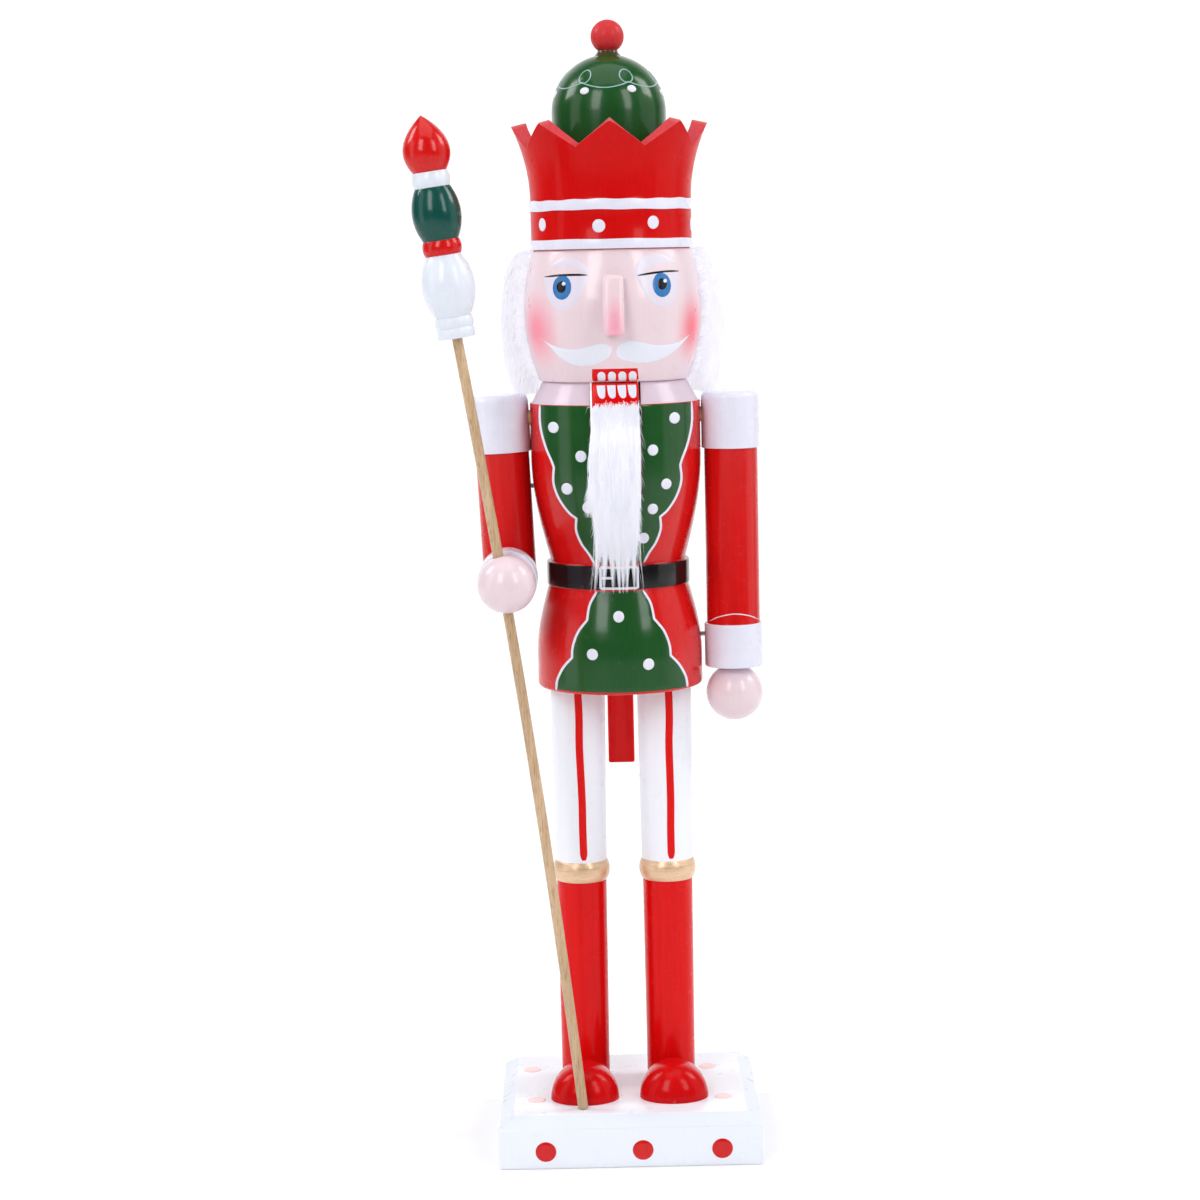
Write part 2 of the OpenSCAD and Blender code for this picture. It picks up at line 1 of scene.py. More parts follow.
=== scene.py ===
"""Looks of the painted nutcracker figure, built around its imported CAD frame.

Sizes are in millimetres, and publish() turns them into Blender's metres. The figure faces -Y.
Turned pieces are lathed from an outline of (radius, height) points, and painted details are thin raised
films of paint laid on those surfaces.
"""
import json
from contextlib import contextmanager
from math import acos, asin, ceil, cos, degrees, hypot, pi, radians, sin, sqrt, tan

import bmesh
import bpy
import numpy as np
from mathutils import Matrix, Vector, geometry


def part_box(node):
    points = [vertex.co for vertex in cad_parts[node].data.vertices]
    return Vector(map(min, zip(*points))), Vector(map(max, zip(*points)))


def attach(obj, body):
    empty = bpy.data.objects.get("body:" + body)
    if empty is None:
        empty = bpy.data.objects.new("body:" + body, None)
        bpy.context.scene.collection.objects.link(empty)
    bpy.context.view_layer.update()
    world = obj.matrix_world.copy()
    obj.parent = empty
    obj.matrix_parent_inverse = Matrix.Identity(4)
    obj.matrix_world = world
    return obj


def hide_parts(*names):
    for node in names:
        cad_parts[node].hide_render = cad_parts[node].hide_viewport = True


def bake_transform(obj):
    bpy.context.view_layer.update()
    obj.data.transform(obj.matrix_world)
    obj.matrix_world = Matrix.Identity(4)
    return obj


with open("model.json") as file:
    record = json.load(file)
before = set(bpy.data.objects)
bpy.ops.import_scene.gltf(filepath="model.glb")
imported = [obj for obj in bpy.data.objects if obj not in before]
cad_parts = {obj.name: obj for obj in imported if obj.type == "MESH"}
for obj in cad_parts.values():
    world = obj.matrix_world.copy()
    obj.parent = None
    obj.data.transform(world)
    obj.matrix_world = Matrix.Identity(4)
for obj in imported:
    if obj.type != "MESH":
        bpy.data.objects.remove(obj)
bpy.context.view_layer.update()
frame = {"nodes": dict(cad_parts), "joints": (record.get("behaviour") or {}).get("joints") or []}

MM = 0.001
SEGMENTS = 96
SHARP = 38  # edges that turn by more degrees than this aren't smoothed


def span(node):
    """A node's lowest and highest corners at rest, in millimetres."""
    low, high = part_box(node)
    return Vector(low) / MM, Vector(high) / MM


def middle(node):
    low, high = span(node)
    return (low + high) / 2


AXIS_Y = middle("head").y
BASE_TOP = span("base")[1].z
LEG_TOP = span("torso")[0].z
LEG_X = middle("left_leg").x
TORSO_TOP = span("torso")[1].z
HEAD_TOP = span("head")[1].z
CROWN_TOP = span("crown")[1].z
KNOB_TOP = span("knob")[1].z

# ---------------------------------------------------------------- outlines


def shares(steps, first=0):
    """Even shares of a whole, from first / steps to 1."""
    return [i / steps for i in range(first, steps + 1)]


def sweep(angle, steps, first=0):
    """Even steps of an angle given in degrees, in radians."""
    return [radians(angle * i / steps) for i in range(first, steps + 1)]


def closed_sides(outline):
    """Every side of a closed outline as its two ends."""
    return zip(outline, outline[1:] + outline[:1])


def swell_line(p, q, swell, steps=28):
    """Points from p to q that stand off their chord by swell at mid length."""
    p, q = Vector(p), Vector(q)
    return [p + (q - p) * t + Vector((4 * swell * t * (1 - t), 0)) for t in shares(steps)]


def arc(middle_point, radius, start, end, steps=24):
    """Points of a circle from one angle to another, in degrees."""
    angles = [radians(start + (end - start) * i / steps) for i in range(steps + 1)]
    return [Vector(middle_point) + radius * Vector((cos(a), sin(a))) for a in angles]


def round_corners(points, radius, steps=4, turn=20):
    """The same outline with every corner sharper than turn degrees eased by radius."""
    points = [Vector(p) for p in points]
    out = [points[0]]
    for before, here, after in zip(points, points[1:], points[2:]):
        into, away = here - before, after - here
        if min(into.length, away.length) < 1e-6 or degrees(into.angle(away)) < turn:
            out.append(here)
            continue
        reach = min(radius, 0.45 * into.length, 0.45 * away.length)
        a, b = here - into.normalized() * reach, here + away.normalized() * reach
        out += [a * (1 - t) ** 2 + here * 2 * t * (1 - t) + b * t * t for t in shares(steps)]
    return out + [points[-1]]


def radius_at(outline, z):
    """Radius of an outline at a height."""
    for (r0, z0), (r1, z1) in zip(outline, outline[1:]):
        if z0 <= z <= z1 and z1 > z0:
            return r0 + (r1 - r0) * (z - z0) / (z1 - z0)
    return outline[-1][0] if z > outline[-1][1] else outline[0][0]


def smooth(points, steps=6, closed=False):
    """A Catmull-Rom curve through the points."""
    points = [Vector(p) for p in points]
    n = len(points)
    out = []
    for i in range(n if closed else n - 1):
        if closed:
            a, b, c, d = (points[(i + k) % n] for k in (-1, 0, 1, 2))
        else:
            a, b, c, d = (points[min(max(i + k, 0), n - 1)] for k in (-1, 0, 1, 2))
        for s in range(steps):
            t = s / steps
            out.append(0.5 * (2 * b + (c - a) * t + (2 * a - 5 * b + 4 * c - d) * t * t
                              + (3 * b - a - 3 * c + d) * t ** 3))
    return out if closed else out + [points[-1]]


def scallops(*runs):
    """Smooth runs joined at sharp notches."""
    out = []
    for run in runs:
        out += smooth(run)[(1 if out else 0):]
    return out


# ---------------------------------------------------------------- materials


def linear(rgb):
    """A display colour, 0 to 255, as the shader's linear colour."""
    out = []
    for v in rgb:
        v /= 255
        out.append(v / 12.92 if v < 0.04045 else ((v + 0.055) / 1.055) ** 2.4)
    return (*out, 1)


def wire(tree, node, values):
    """Sets or links a node's inputs. Each value is a socket or a plain colour or number."""
    for name, value in values.items():
        if isinstance(value, bpy.types.NodeSocket):
            tree.links.new(value, node.inputs[name])
        else:
            node.inputs[name].default_value = value


def mapped(tree, kind, scale, shift=(0, 0, 0)):
    """A texture node on the piece's own coordinates."""
    mapping = tree.nodes.new("ShaderNodeMapping")
    place = tree.nodes.new("ShaderNodeTexCoord").outputs["Object"]
    wire(tree, mapping, {"Location": shift, "Scale": scale, "Vector": place})
    texture = tree.nodes.new(kind)
    wire(tree, texture, {"Vector": mapping.outputs["Vector"]})
    return texture


def noise_node(tree, scale, stretch=(1, 1, 1), detail=4, rough=0.55):
    """Noise with scale features per metre."""
    noise = mapped(tree, "ShaderNodeTexNoise", stretch)
    wire(tree, noise, {"Scale": scale, "Detail": detail, "Roughness": rough})
    return noise.outputs["Fac"]


def ramp_node(tree, fac, low, high, start=0.3, end=0.7):
    """A soft step from one colour or grey level to another."""
    ramp = tree.nodes.new("ShaderNodeValToRGB")
    for element, position, color in zip(ramp.color_ramp.elements, (start, end), (low, high)):
        element.position = position
        element.color = color if isinstance(color, tuple) else (color, color, color, 1)
    wire(tree, ramp, {"Fac": fac})
    return ramp.outputs["Color"]


def mix_node(tree, fac, a, b, blend="MIX"):
    """a turned towards b. Each input is a socket or a plain colour or number."""
    mix = tree.nodes.new("ShaderNodeMix")
    mix.data_type = "RGBA"
    mix.blend_type = blend
    wire(tree, mix, {0: fac, 6: a, 7: b})
    return mix.outputs[2]


def shade(rgb, gain):
    return tuple(min(1, v * gain) for v in rgb[:3]) + (1,)


def bump_node(tree, heights):
    """Stacks (height socket, depth in millimetres, strength) into one normal."""
    normal = None
    for height, depth, strength in heights:
        bump = tree.nodes.new("ShaderNodeBump")
        wire(tree, bump, {"Distance": depth * MM, "Strength": strength, "Height": height})
        if normal is not None:
            wire(tree, bump, {"Normal": normal})
        normal = bump.outputs["Normal"]
    return normal


def new_material(name):
    mat = bpy.data.materials.new(name)
    mat.use_nodes = True
    return mat, mat.node_tree, mat.node_tree.nodes["Principled BSDF"]


def glow_spot(tree, at, radii):
    """1 at a place on the piece, falling to 0 over the radii, in millimetres."""
    ball = mapped(tree, "ShaderNodeTexGradient", [1 / (r * MM) for r in radii],
                  [-a / r for a, r in zip(at, radii)])
    ball.gradient_type = "SPHERICAL"
    return ball.outputs["Fac"]


def paint(name, rgb, rough=0.22, coat=0.25, streak=0.06, mottle=0.04, wear=0.25, under=(236, 205, 190),
          spots=(), spec=0.22, bump=1.0):
    """Brushed gloss paint over turned wood: streaks along the grain, mottling, and edges rubbed thin."""
    mat, tree, shader = new_material(name)
    base = linear(rgb)
    grain = noise_node(tree, 700, (1, 1, 0.05), 6)
    cloud = noise_node(tree, 30, detail=3)
    peel = noise_node(tree, 900, detail=2)
    color = ramp_node(tree, grain, shade(base, 1 - streak), shade(base, 1 + streak), 0.35, 0.65)
    color = mix_node(tree, 1.0, color, ramp_node(tree, cloud, 1 - mottle, 1.0), "MULTIPLY")
    for at, radii, spot_rgb, strength in spots:
        fade = tree.nodes.new("ShaderNodeMapRange")
        fade.interpolation_type = "SMOOTHSTEP"
        wire(tree, fade, {"To Max": strength, "Value": glow_spot(tree, at, radii)})
        color = mix_node(tree, fade.outputs["Result"], color, linear(spot_rgb))
    edge = tree.nodes.new("ShaderNodeNewGeometry").outputs["Pointiness"]
    color = mix_node(tree, ramp_node(tree, edge, 0.0, wear, 0.56, 0.7), color, linear(under))
    gloss = ramp_node(tree, noise_node(tree, 120), rough - 0.05, rough + 0.08)
    wire(tree, shader, {
        "Base Color": color, "Roughness": gloss, "Coat Weight": coat, "Coat Roughness": 0.1,
        "Specular IOR Level": spec,
        "Normal": bump_node(tree, [(grain, 0.06 * bump, 0.2), (peel, 0.03, 0.12)])})
    return mat


def gold_paint(name):
    """Brushed metallic paint with flakes of uneven brightness."""
    mat, tree, shader = new_material(name)
    flake = noise_node(tree, 1800, detail=2)
    stroke_marks = noise_node(tree, 120, (1, 1, 12))
    color = ramp_node(tree, flake, linear((224, 182, 146)), linear((242, 208, 178)))
    brushed = ramp_node(tree, stroke_marks, linear((190, 152, 108)), linear((240, 216, 180)))
    wire(tree, shader, {
        "Base Color": mix_node(tree, 0.4, color, brushed), "Metallic": 0.35, "Coat Weight": 0.3,
        "Roughness": ramp_node(tree, stroke_marks, 0.28, 0.45),
        "Normal": bump_node(tree, [(stroke_marks, 0.1, 0.3), (flake, 0.03, 0.2)])})
    return mat


def wood(name, light, dark, rough=0.42, coat=0.25):
    """Bare straight-grained wood under thin lacquer."""
    mat, tree, shader = new_material(name)
    light, dark = linear(light), linear(dark)
    grain = noise_node(tree, 900, (1, 1, 0.03), 8, 0.65)
    bands = noise_node(tree, 150, (1, 1, 0.06), 3)
    pores = noise_node(tree, 2600, (1, 1, 0.04), 2)
    color = ramp_node(tree, grain, dark, light, 0.32, 0.6)
    color = mix_node(tree, 0.5, color, ramp_node(tree, bands, dark, light, 0.4, 0.62))
    pits = ramp_node(tree, pores, (0.55, 0.45, 0.35, 1), 1.0, 0.3, 0.45)
    wire(tree, shader, {
        "Base Color": mix_node(tree, 1.0, color, pits, "MULTIPLY"), "Coat Weight": coat,
        "Roughness": ramp_node(tree, grain, rough + 0.12, rough - 0.06),
        "Normal": bump_node(tree, [(grain, 0.15, 0.4), (pores, 0.05, 0.3)])})
    return mat


def steel(name):
    """Plain steel with turning marks and a little tarnish, its colour kept dark as painted shade, since the
    pins sit in shade.
    """
    mat, tree, shader = new_material(name)
    marks = noise_node(tree, 500, (1, 1, 8), 5)
    tarnish_and_shade = noise_node(tree, 180)
    wire(tree, shader, {
        "Base Color": ramp_node(tree, tarnish_and_shade, linear((96, 92, 88)), linear((150, 150, 152)), 0.3, 0.6),
        "Metallic": 1, "Roughness": ramp_node(tree, marks, 0.25, 0.42),
        "Normal": bump_node(tree, [(marks, 0.05, 0.3)])})
    return mat


def fur_material(name, tip, root, glow):
    """Soft synthetic hair in streaks of a darker and a lighter white. Its emission is painted light that
    keeps it white in the shade.
    """
    mat, tree, shader = new_material(name)
    tip, root = linear(tip), linear(root)
    lock = noise_node(tree, 350, (1, 1, 0.12), 3)
    strand = noise_node(tree, 1100, (1, 1, 0.04), 2)
    color = mix_node(tree, 0.5, ramp_node(tree, lock, root, tip, 0.3, 0.6),
                     ramp_node(tree, strand, root, tip, 0.4, 0.6))
    fine = noise_node(tree, 2200, (1, 1, 0.05), 2)
    wire(tree, shader, {
        "Base Color": color, "Roughness": 0.55, "Specular IOR Level": 0.35, "Sheen Weight": 0.35,
        "Sheen Roughness": 0.4, "Emission Color": tip, "Emission Strength": glow,
        "Normal": bump_node(tree, [(fine, 0.1, 0.4)])})
    return mat


CHEEKS = [
    ((-42, AXIS_Y - 24, 438), (24, 24, 26), (240, 122, 146), 0.85),
    ((43, AXIS_Y - 23, 438), (17, 20, 24), (242, 102, 120), 0.95),
]
RED = (205, 18, 18)
RED_PAINT = paint("red_paint", RED)
BOOT_RED = paint("boot_red", (218, 10, 12), spec=0.1, coat=0.12)
CROWN_RED = paint("crown_red", (202, 12, 12), rough=0.3, spec=0.06, coat=0.12, streak=0.04)
FOOT_RED = paint("foot_red", (200, 12, 16), rough=0.2, spec=0.08, coat=0.1)
KNOB_RED = paint("knob_red", (200, 34, 38), rough=0.5, spec=0.3, coat=0.08)
# The crown's sawn rim is a paler pink red with heavily rubbed edges, partly worn paint and partly painted
# highlight from the light above on its top faces.
SAWN_LIT_RED = paint("sawn_lit_red", (206, 62, 70), rough=0.55, coat=0, streak=0.12, mottle=0.12, wear=0.6, bump=3)
# The slot's walls and floor: a dark matt red, partly sawn wood and partly painted shade in the deep narrow
# slot.
SLOT_SHADE_RED = paint("sawn_slot_shade", (150, 34, 30), rough=0.9, coat=0, streak=0.15, mottle=0.15, wear=0, spec=0.02,
                  bump=3)
GREEN = (28, 78, 34)
GREEN_PAINT = paint("green_paint", GREEN, rough=0.2, streak=0.05)
# The dark brown patch round the neck, under the knob, is partly the neck's own brown and partly painted shade
# from the knob.
DOME_PAINT = paint("dome_paint", GREEN, rough=0.2, streak=0.05,
                   spots=[((0, AXIS_Y, HEAD_TOP + 103.5), (15, 15, 6.5), (86, 48, 30), 1.0)])
TEAL_PAINT = paint("teal_paint", (14, 74, 66), rough=0.2, streak=0.06)
WHITE_PAINT = paint("white_paint", (225, 225, 240), rough=0.26, streak=0.012, mottle=0.012, wear=0.1,
                    under=(224, 214, 204), bump=0.5)
FINIAL_WHITE = paint("finial_white", (222, 228, 238), rough=0.24, streak=0.012, mottle=0.02, wear=0.1,
                     under=(214, 214, 204), bump=0.5)
TROUSER_PAINT = paint("trouser_paint", (238, 240, 248), rough=0.3, streak=0.006, mottle=0.004, wear=0,
                      bump=0.1)
DABBED = dict(rough=0.32, streak=0.01, mottle=0.01, wear=0, bump=0.5)
FACE_WHITE = paint("face_white", (227, 230, 242), **DABBED)
EYE_WHITE = paint("eye_white", (221, 214, 228), **DABBED)
SPRAYED = dict(rough=0.3, streak=0.005, mottle=0.004, wear=0, bump=0.08)
BASE_PAINT = paint("base_paint", (233, 238, 247), **SPRAYED)
# The bevel's paint is a darker, bluer copy of the base's white: painted shade on the sloped faces.
BEVEL_SHADE_PAINT = paint("bevel_shade_paint", (222, 229, 241), **SPRAYED)
COLLAR_PAINT = paint("collar_paint", (209, 191, 205), rough=0.34, streak=0.015, mottle=0.02, wear=0.15,
                     under=(226, 190, 190))
# The dots on the base's top are a much paler red than the red dots on its front.
PALE_TOP_RED = paint("pale_top_red", (250, 216, 217), rough=0.35, streak=0.02, wear=0)
SKIN_PAINT = paint("skin_paint", (229, 208, 215), rough=0.3, coat=0.45, streak=0.012, mottle=0.02,
                   spots=CHEEKS, wear=0.1)
NOSE_PAINT = paint("nose_paint", (231, 207, 214), rough=0.3, coat=0.45, streak=0.012, wear=0.3,
                   under=(244, 232, 234),
                   spots=[((0.4, AXIS_Y - 57, 441), (7.5, 14, 20), (240, 150, 176), 0.85)])
BLACK_PAINT = paint("black_paint", (22, 20, 22), rough=0.14, streak=0.1, under=(90, 80, 76))
BLUE_PAINT = paint("blue_paint", (52, 116, 178), rough=0.25, streak=0.08)
PALE_BLUE_PAINT = paint("pale_blue_paint", (146, 182, 184), rough=0.35, coat=0.3)
GOLD_PAINT = gold_paint("gold_paint")
STAFF_WOOD = wood("staff_wood", (212, 182, 146), (174, 142, 106))
BARE_WOOD = wood("bare_wood", (222, 196, 152), (188, 152, 106), rough=0.6, coat=0)
STEEL = steel("steel")
# Both furs glow by their emission, painted light that keeps them white in the shade. The head's hair glows
# most, over a darker colour.
BEARD_FUR = fur_material("beard_fur", (230, 230, 236), (208, 209, 220), 0.36)
HAIR_FUR = fur_material("hair_fur", (198, 197, 203), (162, 162, 173), 0.97)

# ---------------------------------------------------------------- meshes


def add_object(name, data):
    obj = bpy.data.objects.new(name, data)
    bpy.context.scene.collection.objects.link(obj)
    return obj


def mesh_object(name, bm):
    """Turns a mesh in millimetres into an object."""
    bmesh.ops.recalc_face_normals(bm, faces=bm.faces)
    bmesh.ops.scale(bm, vec=(MM, MM, MM), verts=bm.verts)
    mesh = bpy.data.meshes.new(name)
    bm.to_mesh(mesh)
    bm.free()
    return add_object(name, mesh)


def declare(obj, body, replaces, blend=None):
    """Attaches a piece to the body it rides on, or bakes it in place when it blends, and hides the CAD nodes
    that it replaces.
    """
    if blend:
        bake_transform(obj)
    else:
        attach(obj, body)
    if replaces:
        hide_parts(*replaces)
    return obj


def publish(name, bm, materials, replaces=(), body="figure", sharp=SHARP):
    """Turns a mesh in millimetres into a piece that rides on a body."""
    obj = mesh_object(name, bm)
    for material in materials:
        obj.data.materials.append(material)
    soften(obj.data, sharp)
    return declare(obj, body, replaces)


def soften(mesh, sharp):
    mesh.polygons.foreach_set("use_smooth", [True] * len(mesh.polygons))
    mesh.set_sharp_from_angle(angle=radians(sharp))


def bake_modifiers(obj):
    """Replaces a piece's mesh by its modified one."""
    bpy.context.view_layer.update()
    depsgraph = bpy.context.evaluated_depsgraph_get()
    mesh = bpy.data.meshes.new_from_object(obj.evaluated_get(depsgraph))
    obj.modifiers.clear()
    obj.data = mesh
    soften(mesh, SHARP)


def lathe_into(bm, outline, x=0, y=AXIS_Y, segments=SEGMENTS, paint_at=None, turn=None):
    """Adds a turned shape, upright at (x, y) unless turn places it. paint_at(height) picks the material."""
    x, y = (0, 0) if turn else (x, y)
    rings = []
    angles = [2 * pi * i / segments for i in range(segments)]
    for r, z in outline:
        around = angles if r > 1e-4 else [pi / 2]
        rings.append([bm.verts.new((x + r * cos(a), y + r * sin(a), z)) for a in around])
    for end in (rings[0], rings[-1]):
        if len(end) > 1:
            bm.faces.new(end)
    for (lower, upper), (p, q) in zip(zip(rings, rings[1:]), zip(outline, outline[1:])):
        index = paint_at((p[1] + q[1]) / 2) if paint_at else 0
        for i in range(segments):
            j = (i + 1) % segments
            if len(lower) == 1:
                corners = (lower[0], upper[j], upper[i])
            elif len(upper) == 1:
                corners = (lower[i], lower[j], upper[0])
            else:
                corners = (lower[i], lower[j], upper[j], upper[i])
            bm.faces.new(corners).material_index = index
    if turn is not None:
        bmesh.ops.transform(bm, matrix=turn, verts=[v for ring in rings for v in ring])


def lathe(name, outline, materials, slot, replaces=(), body="figure", **how):
    bm = bmesh.new()
    lathe_into(bm, outline, **how)
    return publish(name, bm, materials, replaces, body)


def bridge(bm, loops):
    """Joins closed rows of points by quads and closes both ends."""
    n = len(loops[0])
    for a, b in zip(loops, loops[1:]):
        for i in range(n):
            j = (i + 1) % n
            bm.faces.new((a[i], a[j], b[j], b[i]))
    bm.faces.new(loops[0])
    bm.faces.new(loops[-1])


def prism(name, outline, width, material, replaces, body="figure", ease=0.8):
    """A board across the figure from an outline of (depth, height) points, its edges eased."""
    bm = bmesh.new()
    sides = [[bm.verts.new((side * width / 2, y, z)) for y, z in outline] for side in (-1, 1)]
    for side in sides:
        bm.faces.new(side)
    n = len(outline)
    for i in range(n):
        j = (i + 1) % n
        bm.faces.new((sides[0][i], sides[0][j], sides[1][j], sides[1][i]))
    obj = publish(name, bm, [material], replaces, body)
    ease_edges(obj, ease)
    return obj


def ease_edges(obj, width, angle=30):
    bevel = obj.modifiers.new("ease", "BEVEL")
    bevel.width = width * MM
    bevel.segments = 3
    bevel.limit_method = "ANGLE"
    bevel.angle_limit = radians(angle)
    bevel.harden_normals = False
    bake_modifiers(obj)


def placed(at, angle, axis):
    """A matrix that turns by an angle in degrees and then moves to a place."""
    return Matrix.Translation(at) @ Matrix.Rotation(radians(angle), 4, axis)


def cutter_block(low, high):
    bm = bmesh.new()
    bmesh.ops.create_cube(bm, size=1)
    low, high = Vector(low), Vector(high)
    for v in bm.verts:
        v.co = Vector((a + (b - a) * (c + 0.5) for a, b, c in zip(low, high, v.co)))
    return mesh_object("cutter", bm)


def cutter_rod(radius, length, turn, segments=48):
    bm = bmesh.new()
    lathe_into(bm, [(radius, -length / 2), (radius, length / 2)], segments=segments, turn=turn)
    return mesh_object("cutter", bm)


def carve(obj, cutters):
    """Cuts the cutters out of a piece, and removes them."""
    for cutter in cutters:
        cut = obj.modifiers.new("cut", "BOOLEAN")
        cut.operation = "DIFFERENCE"
        cut.solver = "EXACT"
        cut.object = cutter
    bake_modifiers(obj)
    for cutter in cutters:
        bpy.data.objects.remove(cutter)


# ---------------------------------------------------------------- paint films


def on_turning(outline, centre=(0, AXIS_Y)):
    """place(x, z, lift): a point on the front of a turning, lifted off its surface."""
    outline = [p for p in outline if p[0] > 1]

    def place(x, z, lift):
        r = radius_at(outline, z)
        a = asin(max(-1, min(1, x / r)))
        return Vector((centre[0] + (r + lift) * sin(a), centre[1] - (r + lift) * cos(a), z))
    return place


def turned_by(place, angle):
    """The same placing, carried round the figure's axis by an angle in degrees."""
    pivot = Vector((0, AXIS_Y, 0))
    spin = placed(pivot, angle, "Z") @ Matrix.Translation(-pivot)
    return lambda x, z, lift: spin @ place(x, z, lift)


def edge_distance(point, outline):
    best = 1e9
    for a, b in closed_sides(outline):
        along = b - a
        t = max(0, min(1, (point - a).dot(along) / max(along.length_squared, 1e-12)))
        best = min(best, (point - a - along * t).length)
    return best


def inside(point, outline):
    hit = False
    for a, b in closed_sides(outline):
        if (a.y > point.y) != (b.y > point.y):
            if point.x < (b.x - a.x) * (point.y - a.y) / (b.y - a.y) + a.x:
                hit = not hit
    return hit


def split_long(outline, longest):
    """The same closed outline with every long side divided."""
    outline = [Vector(p) for p in outline]
    out = []
    for a, b in closed_sides(outline):
        parts = max(1, ceil((b - a).length / longest))
        out += [a + (b - a) * i / parts for i in range(parts)]
    return out


def film(bm, outline, place, lift=0.1, root=-0.12, grid=1.8, rim=0.35):
    """Adds a thin closed film of paint with a rounded rim, from its outline of (x, z) points."""
    outline = split_long(outline, grid)
    points = list(outline)
    low = Vector((min(p.x for p in outline), min(p.y for p in outline)))
    high = Vector((max(p.x for p in outline), max(p.y for p in outline)))
    n = len(outline)
    for before, here, after in zip(outline[-1:] + outline[:-1], outline, outline[1:] + outline[:1]):
        away = (after - before).orthogonal()
        if away.length < 1e-9:
            continue
        for side in (-1, 1):
            spot = here + away.normalized() * side * rim
            if inside(spot, outline) and edge_distance(spot, outline) > 0.85 * rim:
                points.append(spot)
    for i in range(int((high.x - low.x) / grid) + 1):
        for j in range(int((high.y - low.y) / grid) + 1):
            spot = low + Vector(((i + 0.5) * grid, (j + 0.5) * grid))
            if inside(spot, outline) and edge_distance(spot, outline) > 2.2 * rim:
                points.append(spot)
    found = geometry.delaunay_2d_cdt(points, [], [list(range(n))], 1, 1e-5)
    flat, faces = found[0], found[2]
    top = [bm.verts.new(place(p.x, p.y, lift * min(1, edge_distance(p, outline) / rim) ** 0.5)) for p in flat]
    bottom = [bm.verts.new(place(p.x, p.y, root)) for p in flat]
    uses = {}
    for face in faces:
        bm.faces.new([top[i] for i in face])
        bm.faces.new([bottom[i] for i in reversed(face)])
        uses.update(dict.fromkeys(closed_sides(face)))
    for a, b in uses:
        if (b, a) not in uses:
            bm.faces.new((top[b], top[a], bottom[a], bottom[b]))


def ellipse(x, z, wide, tall, lean=0.0, sides=40):
    out = []
    for i in range(sides):
        a = 2 * pi * i / sides
        u, v = wide * cos(a), tall * sin(a)
        out.append((x + u * cos(lean) - v * sin(lean), z + u * sin(lean) + v * cos(lean)))
    return out


def dot(bm, x, z, radius, place, lift=0.3, squash=1.0):
    """Adds a round dab of paint, a little domed."""
    outline = ellipse(x, z, radius * squash, radius, sides=28)
    film(bm, outline, place, lift, grid=max(0.6, radius / 3), rim=min(0.4, radius / 3))


BRUSH = [(-0.5, -0.12), (-0.42, 0.6), (-0.18, 1), (0.18, 1), (0.42, 0.6), (0.5, -0.12), (0, -0.2)]


def stroke(bm, path, width, place, height=0.22):
    """Adds a brush line along (x, z) points. width is a number or a function of the way along."""
    path = [Vector(p) for p in path]
    n = len(path)
    rings = []
    for i, here in enumerate(path):
        along = path[min(i + 1, n - 1)] - path[max(i - 1, 0)]
        side = along.orthogonal().normalized() if along.length > 1e-9 else Vector((1, 0))
        w = width(i / (n - 1)) if callable(width) else width
        ring = []
        for u, h in BRUSH:
            spot = here + side * u * w
            lift = h * height if h > 0 else h
            ring.append(bm.verts.new(place(spot.x, spot.y, lift)))
        rings.append(ring)
    m = len(BRUSH)
    for a, b in zip(rings, rings[1:]):
        for k in range(m):
            j = (k + 1) % m
            bm.faces.new((a[k], a[j], b[j], b[k]))
    bm.faces.new(rings[0][::-1])
    bm.faces.new(rings[-1])


@contextmanager
def painted(name, material, slot, body="figure"):
    """The paint films added to the mesh it gives make one piece."""
    bm = bmesh.new()
    yield bm
    publish(name, bm, [material], body=body, sharp=60)


def taper(width, ends=0.15):
    """A stroke's width that narrows towards both ends."""
    return lambda t: width * (0.3 + 0.7 * min(1, t / ends, (1 - t) / ends))


# ---------------------------------------------------------------- fur


def fur_piece(name, x, y, z, radii, material, replaces=(), body="beard", blend=None):
    """One mesh of closed, three-sided, tapering hairs. x, y and z are (hairs, points), in millimetres."""
    paths = np.stack([x, y, z], axis=2)
    hairs, points, _ = paths.shape
    along = np.gradient(paths, axis=1)
    along /= np.linalg.norm(along, axis=2, keepdims=True) + 1e-12
    across = np.cross(along, np.array([0.31, 0.17, 0.93]))
    across /= np.linalg.norm(across, axis=2, keepdims=True) + 1e-12
    other = np.cross(along, across)
    t = np.linspace(0, 1, points)[None, :, None]
    thick = radii[:, None, None] * (1 - 0.9 * t ** 1.6)
    rings = [paths + thick * (cos(a) * across + sin(a) * other) for a in (0, 2 * pi / 3, 4 * pi / 3)]
    verts = np.stack(rings, axis=2).reshape(-1, 3) * MM
    first = np.arange(hairs) * points * 3
    ring = first[:, None, None] + (np.arange(points - 1) * 3)[None, :, None]
    k = np.arange(3)[None, None, :]
    a, b = ring + k, ring + (k + 1) % 3
    quads = np.stack([a, b, b + 3, a + 3], axis=-1).reshape(-1, 4)
    last = first + (points - 1) * 3
    caps = [np.stack(corners, 1) for corners in ([first + 2, first + 1, first], [last, last + 1, last + 2])]
    mesh = bpy.data.meshes.new(name)
    mesh.from_pydata(verts.tolist(), [], quads.tolist() + np.concatenate(caps).tolist())
    mesh.materials.append(material)
    mesh.polygons.foreach_set("use_smooth", [True] * len(mesh.polygons))
    declare(add_object(name, mesh), body, replaces, blend)


# ---------------------------------------------------------------- base, legs and feet

BEVEL_RUN = 8
BEVEL_DROP = 5.5
SCREW_R, SCREW_HEAD_R = 2.05, 4.25


